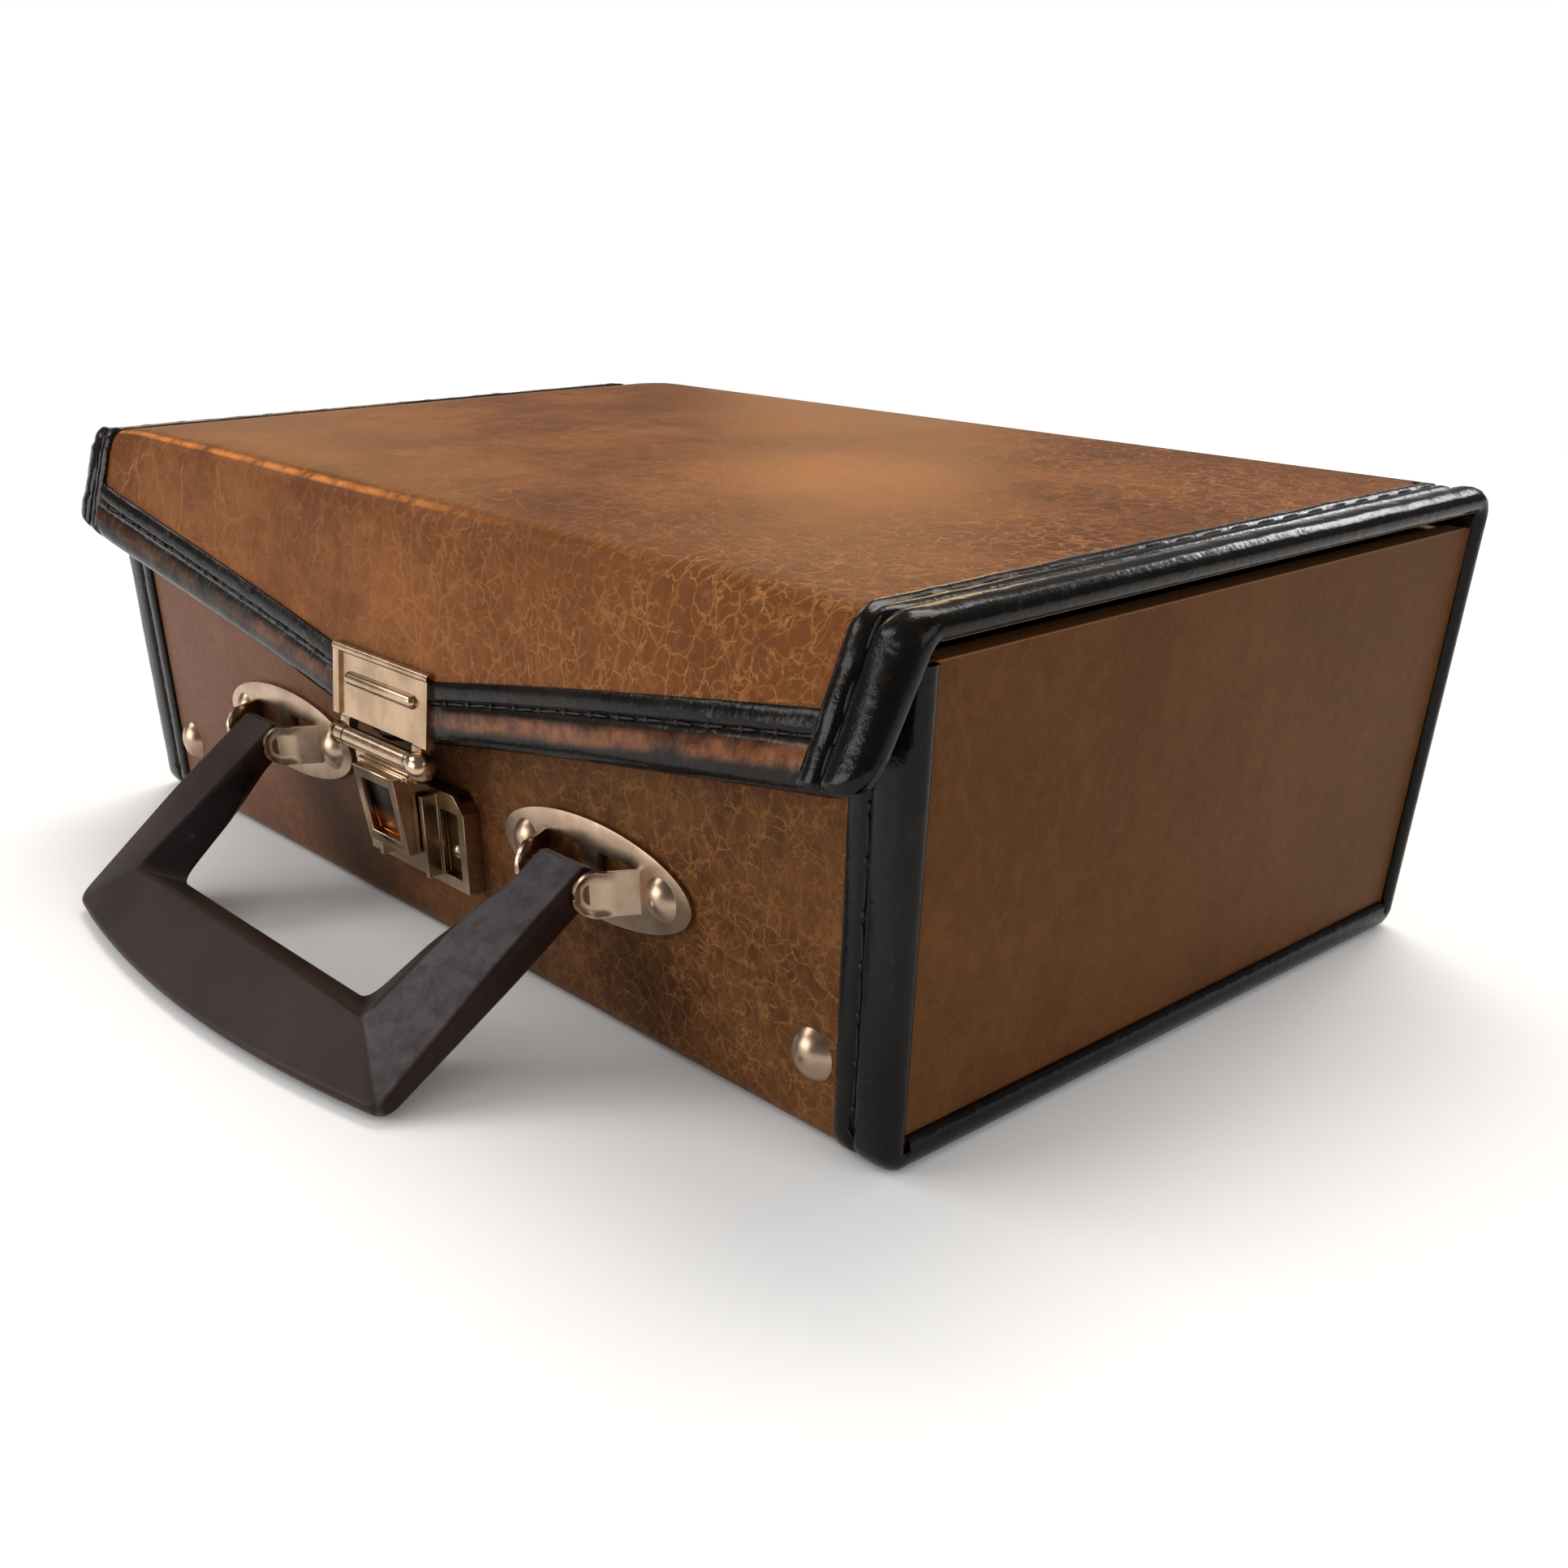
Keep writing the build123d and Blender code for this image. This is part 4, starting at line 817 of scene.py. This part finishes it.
def fold_ring(x, inside):
    """Up the back, round its edge and onto the lid, which sags at the left."""
    reach = fold_turn - inside
    ring = [(77.0 - inside, fold_foot + 9.2 * i / 10) for i in range(11)]
    for turn in [math.pi / 2 * i / 8 for i in range(9)]:
        ring.append((turn_middle[0] + reach * math.cos(turn), turn_middle[1] + reach * math.sin(turn)))
    ring.append((fold_lap, turn_middle[1] + reach))
    return [(x, y, z - droop(x) * min(1.0, max(0.0, (z - 80.0) / 3.0))) for y, z in ring]


fold_xs = [-fold_end + 2 * fold_end * i / fold_steps for i in range(fold_steps + 1)]
sides = [[fold_ring(x, inside) for x in fold_xs] for inside in (0.0, fold_thick)]
hinge_fold = solid("hinge_fold", *shell(*sides), box_vinyl)
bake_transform(hinge_fold)
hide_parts("hinge_strip")


# ---- Studs, brackets and rivets ----
# Pressed steel with a warm nickel plate. Two domed studs stand near the lower corners,
# and a slotted plate on each side of the latch is riveted on to carry the handle.
def plate_metal(name, dull, bright, rough):
    """Pressed steel with a thin, slightly uneven plating."""
    made, shader, place = begin(name, Metallic=1.0)
    smear = cloud(place, 130.0, 4.0, 0.6)
    brush = cloud(place, 900.0, 2.0)
    place.feed(shader.inputs["Base Color"], smear.ease(0.35, 0.65).tint(dull, bright))
    place.feed(shader.inputs["Roughness"], rough + 0.16 * smear)
    relief(shader, smear * 0.7 + brush * 0.2, 0.12, 0.0004)
    return made


nickel = plate_metal("nickel", (0.34, 0.24, 0.165, 1), (0.46, 0.335, 0.24, 1), 0.22)
bright_nickel = plate_metal("bright_nickel", (0.36, 0.245, 0.155, 1), (0.50, 0.35, 0.225, 1), 0.14)


def dressed(node, name, made, body, slot, edge, sharp=30.0):
    """A copy of a pressed or moulded part with its doubled points merged and edges eased."""
    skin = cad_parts[node].data.copy()
    skin.name = name
    shape = bmesh.new()
    shape.from_mesh(skin)
    bmesh.ops.remove_doubles(shape, verts=shape.verts, dist=1e-6)
    bmesh.ops.dissolve_limit(shape, angle_limit=math.radians(1.0), verts=shape.verts, edges=shape.edges)
    shape.to_mesh(skin)
    shape.free()
    skin.materials.clear()
    skin.materials.append(made)
    skin.shade_smooth()
    skin.set_sharp_from_angle(angle=math.radians(sharp))
    piece = bpy.data.objects.new(name, skin)
    bpy.context.scene.collection.objects.link(piece)
    if edge:
        ease = piece.modifiers.new("eased_edges", "BEVEL")
        ease.limit_method = "ANGLE"
        ease.angle_limit = math.radians(sharp)
        ease.width = edge * 0.001
        ease.segments = 2
    settle(piece, body, slot, node)


dressed("front_studs", "stud_heads", nickel, "case_body", "nickel_steel", 0)

bracket_middle = 55.4
bracket_half = 27.0
bracket_high = 9.0
slot_start = 2.5
slot_end = 13.6
slot_high = 4.0
pivot = (-85.0, 30.6)
stub_radius = 2.0
ear_slope = math.radians(29.55)
ear_length = 12.25
ear_half = 4.0
ear_round = 4.2
round_start = 8.05


def bracket_plate(middle):
    """The front face of an oval plate with two slots, as three bands of small faces."""
    xs = [(bracket_half - 0.03) * math.sin(math.pi / 2 * i / 18) for i in range(-18, 19)]
    xs = [x for x in xs if min(abs(abs(x) - slot_start), abs(abs(x) - slot_end)) > 0.6]
    xs = sorted(xs + [-slot_end, -slot_start, slot_start, slot_end])
    points = []
    for x in xs:
        half = bracket_high * math.sqrt(1 - (x / bracket_half) ** 2)
        slot = min(slot_high, half * 0.85)
        ups = [half + (slot - half) * i / 4 for i in range(4)] + [slot - 2 * slot * i / 6 for i in range(7)]
        ups += [-slot + (slot - half) * i / 4 for i in range(1, 5)]
        for up in ups:
            edge = (x / bracket_half) ** 2 + (up / bracket_high) ** 2
            points.append((middle + x, -78.0 - 0.5 * (1 - edge ** 2), pivot[1] + up))
    faces = []
    rows = len(ups)
    for i in range(len(xs) - 1):
        in_slot = slot_start - 0.1 < abs(xs[i] + xs[i + 1]) / 2 < slot_end + 0.1
        for j in range(rows - 1):
            if not (in_slot and 4 <= j < 10):
                a = i * rows + j
                faces.append((a, a + rows, a + rows + 1, a + 1))
    return points, faces


def bracket_ear(middle, side):
    """One ear: a flat facet from its fold, then a hollow round end with a rolled rim."""
    points = []
    faces = []
    count = 30
    across = 13
    for i in range(count):
        along = -0.6 + (ear_length + 0.55) * math.sin(math.pi / 2 * i / (count - 1))
        wide = ear_half if along < round_start else math.sqrt(max(0.02, ear_round ** 2 - (along - round_start) ** 2))
        wide = min(wide, ear_half + max(0.0, along - 6.5) * 0.13)
        for j in range(across):
            up = wide * math.sin(math.pi / 2 * (j / (across - 1) * 2 - 1))
            hollow = math.sin(math.pi * min(1.0, max(0.0, (along - 5.6) / 6.6)))
            inset = min(wide - abs(up), ear_length - along)
            rim = max(0.0, 1 - (inset / 0.8) ** 2) * min(1.0, max(0.0, (along - 5.0) / 1.5))
            out = 0.5 - 0.65 * hollow + (0.35 + 0.35 * hollow) * rim
            x = 14.1 - math.sin(ear_slope) * along + math.cos(ear_slope) * out
            y = -77.5 - math.cos(ear_slope) * along - math.sin(ear_slope) * out
            points.append((middle + side * x, y, pivot[1] + up))
    for i in range(count - 1):
        for j in range(across - 1):
            a = i * across + j
            face = (a, a + across, a + across + 1, a + 1)
            faces.append(face if side > 0 else face[:1] + face[:0:-1])
    return points, faces


def sheet_metal(name, points, faces, made, thick, edge, outward, body, slot, *nodes):
    """A pressed sheet: its front face gets a thickness behind it and rounded edges."""
    piece = solid(name, points, faces, made, 50.0)
    first = piece.data.polygons[len(piece.data.polygons) // 2]
    if first.normal.dot(Vector(outward)) < 0:
        piece.data.flip_normals()
    press = piece.modifiers.new("thickness", "SOLIDIFY")
    press.thickness = thick * 0.001
    press.offset = -1.0
    ease = piece.modifiers.new("eased_edges", "BEVEL")
    ease.limit_method = "ANGLE"
    ease.angle_limit = math.radians(50)
    ease.width = edge * 0.001
    ease.segments = 3
    settle(piece, body, slot, *nodes)


for side, word in ((-1, "left"), (1, "right")):
    middle = side * bracket_middle
    sheet_metal(word + "_bracket_plate", *bracket_plate(middle), nickel, 1.2, 0.42, (0, -1, 0), "case_body",
                "nickel_steel", word + "_handle_bracket")
    for ear, ear_word in ((-1, "_bracket_left_ear"), (1, "_bracket_right_ear")):
        sheet_metal(word + ear_word, *bracket_ear(middle, ear), nickel, 0.9, 0.35, (ear, -0.5, 0),
                    "case_body", "nickel_steel")
        turns = [math.tau * i / 20 for i in range(20)]
        rings = [[(middle + ear * x, pivot[0] + stub_radius * math.cos(turn), pivot[1] + stub_radius * math.sin(turn))
                  for turn in turns] for x in (6.9, 9.3)]
        settle(solid(word + ear_word + "_stub", *swept(rings), nickel), "case_body", "nickel_steel")
dressed("bracket_rivets", "bracket_rivet_heads", nickel, "case_body", "nickel_steel", 0)
for node in ("stud_washers", "left_bracket_backing", "right_bracket_backing", "base_backing", "leaf_backing"):
    dress(node, nickel)


# ---- Handle ----
# One dark brown plastic moulding with a fine grain, turning on the brackets' stubs. It
# rests on the table. Its sizes are a reach from the stubs and a height over its middle.
arm_in = 48.55
arm_out = 62.25
arm_thick = 3.0
arm_middle = 18.0
opening_reach = 36.6
crest_reach = 39.7
crest_high = 5.1
corner_reach = 52.4
grip_bow = 5.7
grip_edge = 1.6
handle_tilt = math.asin((pivot[1] - 0.3 - 0.85 * grip_edge) / corner_reach)
handle_plastic, shader, place = begin("handle_plastic", Specular_IOR_Level=0.15)
grain = cloud(place, 1500.0, 3.0, 0.6)
rub = cloud(place, 38.0, 3.0)
scuff = cloud(place, 240.0, 5.0, 0.7)
colour = rub.ease(0.3, 0.7).tint((0.016, 0.0065, 0.0045, 1), (0.034, 0.0145, 0.0095, 1))
x, y, z = place.split()
# the right arm's upper face is painted a patchy lighter grey, a painted sheen, from its mitre to its outer edge
mitre = (x - 0.0462) * 64.1 + (y + 0.1219) * 129.9
arm_sheen = mitre.ease(-0.02, 0.08) * (1 - x.ease(0.0606, 0.0616)) * x.ease(0.0440, 0.0475)
colour = (arm_sheen * (0.45 + 0.55 * scuff.ease(0.35, 0.65))).tint(colour, (0.070, 0.063, 0.067, 1))
# inside the opening the plastic is painted nearly black: a painted shade
reach = (y - pivot[0] * 0.001) * -math.cos(handle_tilt) - (z - pivot[1] * 0.001) * math.sin(handle_tilt)
opening_shade = (1 - x.size().ease(0.0462, 0.0478)) * (1 - reach.ease(0.0378, 0.0392))
colour = (opening_shade * 0.85).tint(colour, (0.0030, 0.0022, 0.0020, 1))
place.feed(shader.inputs["Base Color"], (scuff.ease(0.58, 0.74) * 0.25).tint(colour, (0.060, 0.046, 0.042, 1)))
place.feed(shader.inputs["Roughness"], 0.34 + 0.14 * rub + 0.10 * scuff)
relief(shader, grain + scuff * 0.6, 0.30, 0.00018)


def arm_section(reach, thick):
    """Five corners across an arm near its end, where it is flat."""
    return [(arm_in, reach, 0), (arm_in, reach, thick), (arm_out, reach, thick), (arm_out, reach, -thick),
            (arm_in, reach, -thick)]


def grip_section(part):
    """Five corners across the grip, at a share of the way from its middle to its end."""
    bow = grip_bow * (1 - part * part)
    lift = bow * math.tan(handle_tilt)
    crest = crest_reach + 1.2 * part * part
    return [(37.1 * part, opening_reach, 0), (46.2 * part, crest, crest_high),
            (61.8 * part, corner_reach + bow, lift + grip_edge), (61.8 * part, corner_reach + bow, lift - grip_edge),
            (46.2 * part, crest, -crest_high)]


def turned(before, at, after, reaches):
    """Sections that round a corner of the moulding, each of its five edges with its own reach."""
    made = []
    for t in [i / 6 for i in range(7)]:
        section = []
        for a, b, c, reach in zip(before, at, after, reaches):
            a, b, c = Vector(a), Vector(b), Vector(c)
            start = b + (a - b) * min(0.48, reach / (a - b).length)
            end = b + (c - b) * min(0.48, reach / (c - b).length)
            section.append(tuple(start * (1 - t) ** 2 + b * (2 * t * (1 - t)) + end * t * t))
        made.append(section)
    return made


def rounded(section):
    """A closed ring round a section, its five corners eased."""
    ring = []
    for i in range(5):
        here = Vector(section[i])
        last = Vector(section[i - 1])
        following = Vector(section[(i + 1) % 5])
        ease = (0.7, 1.3, 1.5, 1.5, 1.3)[i]
        start = here + (last - here) * min(0.45, ease / max(0.01, (last - here).length))
        end = here + (following - here) * min(0.45, ease / max(0.01, (following - here).length))
        for t in (0.0, 0.25, 0.5, 0.75, 1.0):
            ring.append(start * (1 - t) ** 2 + here * (2 * t * (1 - t)) + end * t * t)
    return [(x, pivot[0] - reach * math.cos(handle_tilt) - up * math.sin(handle_tilt),
             pivot[1] - reach * math.sin(handle_tilt) + up * math.cos(handle_tilt)) for x, reach, up in ring]


arm_end = [arm_section(-0.6 - 3.4 * math.cos(math.radians(a)), min(arm_thick, 3.4 * math.sin(math.radians(a))))
           for a in (8, 18, 30, 45, 62, 90)]
arm_start = arm_section(5.5, arm_thick)
arm_bend = [(40.3, arm_middle, 0), (47.4, arm_middle, 4.2), (arm_out, arm_middle, arm_thick),
            (arm_out, arm_middle, -arm_thick), (47.4, arm_middle, -4.2)]
grip_end = grip_section(1.0)
half = arm_end + turned(arm_end[-1], arm_start, arm_bend, (4, 2, 2, 2, 2))
half += turned(arm_start, arm_bend, grip_end, (6, 5, 6, 6, 5))
half += turned(arm_bend, grip_end, grip_section(0.85), (5.0, 1.6, 3.2, 3.2, 1.6))
half += [grip_section(part / 20) for part in range(16, 0, -2)]
other = [[(-x, reach, up) for x, reach, up in section] for section in reversed(half)]
rings = [rounded(section) for section in half + [grip_section(0.0)] + other]
settle(solid("handle_moulding", *swept(rings), handle_plastic, 32.0), "handle", "handle_plastic", "handle")


# ---- Latch ----
# A pressed leaf is riveted to the flap and carries a hasp on a pin. The hasp's hollow box
# snaps over the tongue of a catch on the base plate, which is riveted to the front.
def hollow_painted_metal(name, bright, dull, rough, hollow, low, high):
    """Plate metal with colours painted in its pressed hollow, a little lighter at the bottom: painted shade on the
    base plate, a painted reflection in the hasp's box.
    """
    made = plate_metal(name, dull, bright, rough)
    shader = made.node_tree.nodes["Principled BSDF"]
    place = Wire(made.node_tree).node("TexCoord", output=3)
    x, y, z = place.split()
    plain = Wire(place.tree, shader.inputs["Base Color"].links[0].from_socket)
    depth = hollow(x, y, z)
    shade = z.ease(0.0262, 0.0290).tint(low, high)
    place.feed(shader.inputs["Base Color"], depth.tint(plain, shade))
    return made


def in_plate(x, y, _):
    """Behind the base plate's raised rim, where shade is painted."""
    return y.ease(-0.0805, -0.0797) * (1 - x.size().ease(0.0164, 0.0170))


def in_box(x, y, z):
    """In the hollow of the hasp's box, which leans a little, where a reflection is painted."""
    face = 0.0 - y - 0.0868 - 0.140 * (z - 0.0213)
    return (1 - face.ease(-0.0011, -0.0004)) * (1 - x.size().ease(0.0054, 0.0060)) * (1 - z.ease(0.0366, 0.0372))


# the base plate's field is painted darker: a painted shade
base_nickel = hollow_painted_metal("base_nickel", (0.50, 0.38, 0.26, 1), (0.36, 0.26, 0.17, 1), 0.18, in_plate,
                        (0.17, 0.105, 0.050, 1), (0.10, 0.060, 0.030, 1))
# the hasp box's hollow is painted as a reflection, near black above and orange below
hasp_nickel = hollow_painted_metal("hasp_nickel", (0.56, 0.40, 0.27, 1), (0.40, 0.27, 0.17, 1), 0.12, in_box,
                        (0.40, 0.15, 0.040, 1), (0.020, 0.015, 0.012, 1))
dressed("hasp_leaf", "latch_leaf", bright_nickel, "lid", "nickel_steel", 0.35)
dressed("leaf_rivets", "leaf_rivet_heads", bright_nickel, "lid", "nickel_steel", 0)
dressed("hasp_pin", "latch_pin", bright_nickel, "lid", "nickel_steel", 0)
pin = (14.5, -86.784, 41.037)
rings = []
for i in range(15):
    turn = math.pi * i / 14
    radius = 2.75 * max(0.04, math.sin(turn)) ** 0.6
    rings.append([(pin[0] - 3.1 * math.cos(turn), pin[1] + radius * math.cos(math.tau * j / 24),
                   pin[2] + radius * math.sin(math.tau * j / 24)) for j in range(24)])
settle(solid("latch_pin_knob", *swept(rings), hasp_nickel), "lid", "nickel_steel")
dressed("hasp", "latch_hasp", hasp_nickel, "hasp", "nickel_steel", 0.2)
dressed("latch_base", "latch_base_plate", base_nickel, "case_body", "nickel_steel", 0.25)
dressed("latch_catch", "latch_catch_tongue", nickel, "case_body", "nickel_steel", 0)
dressed("base_rivets", "base_rivet_heads", nickel, "case_body", "nickel_steel", 0)
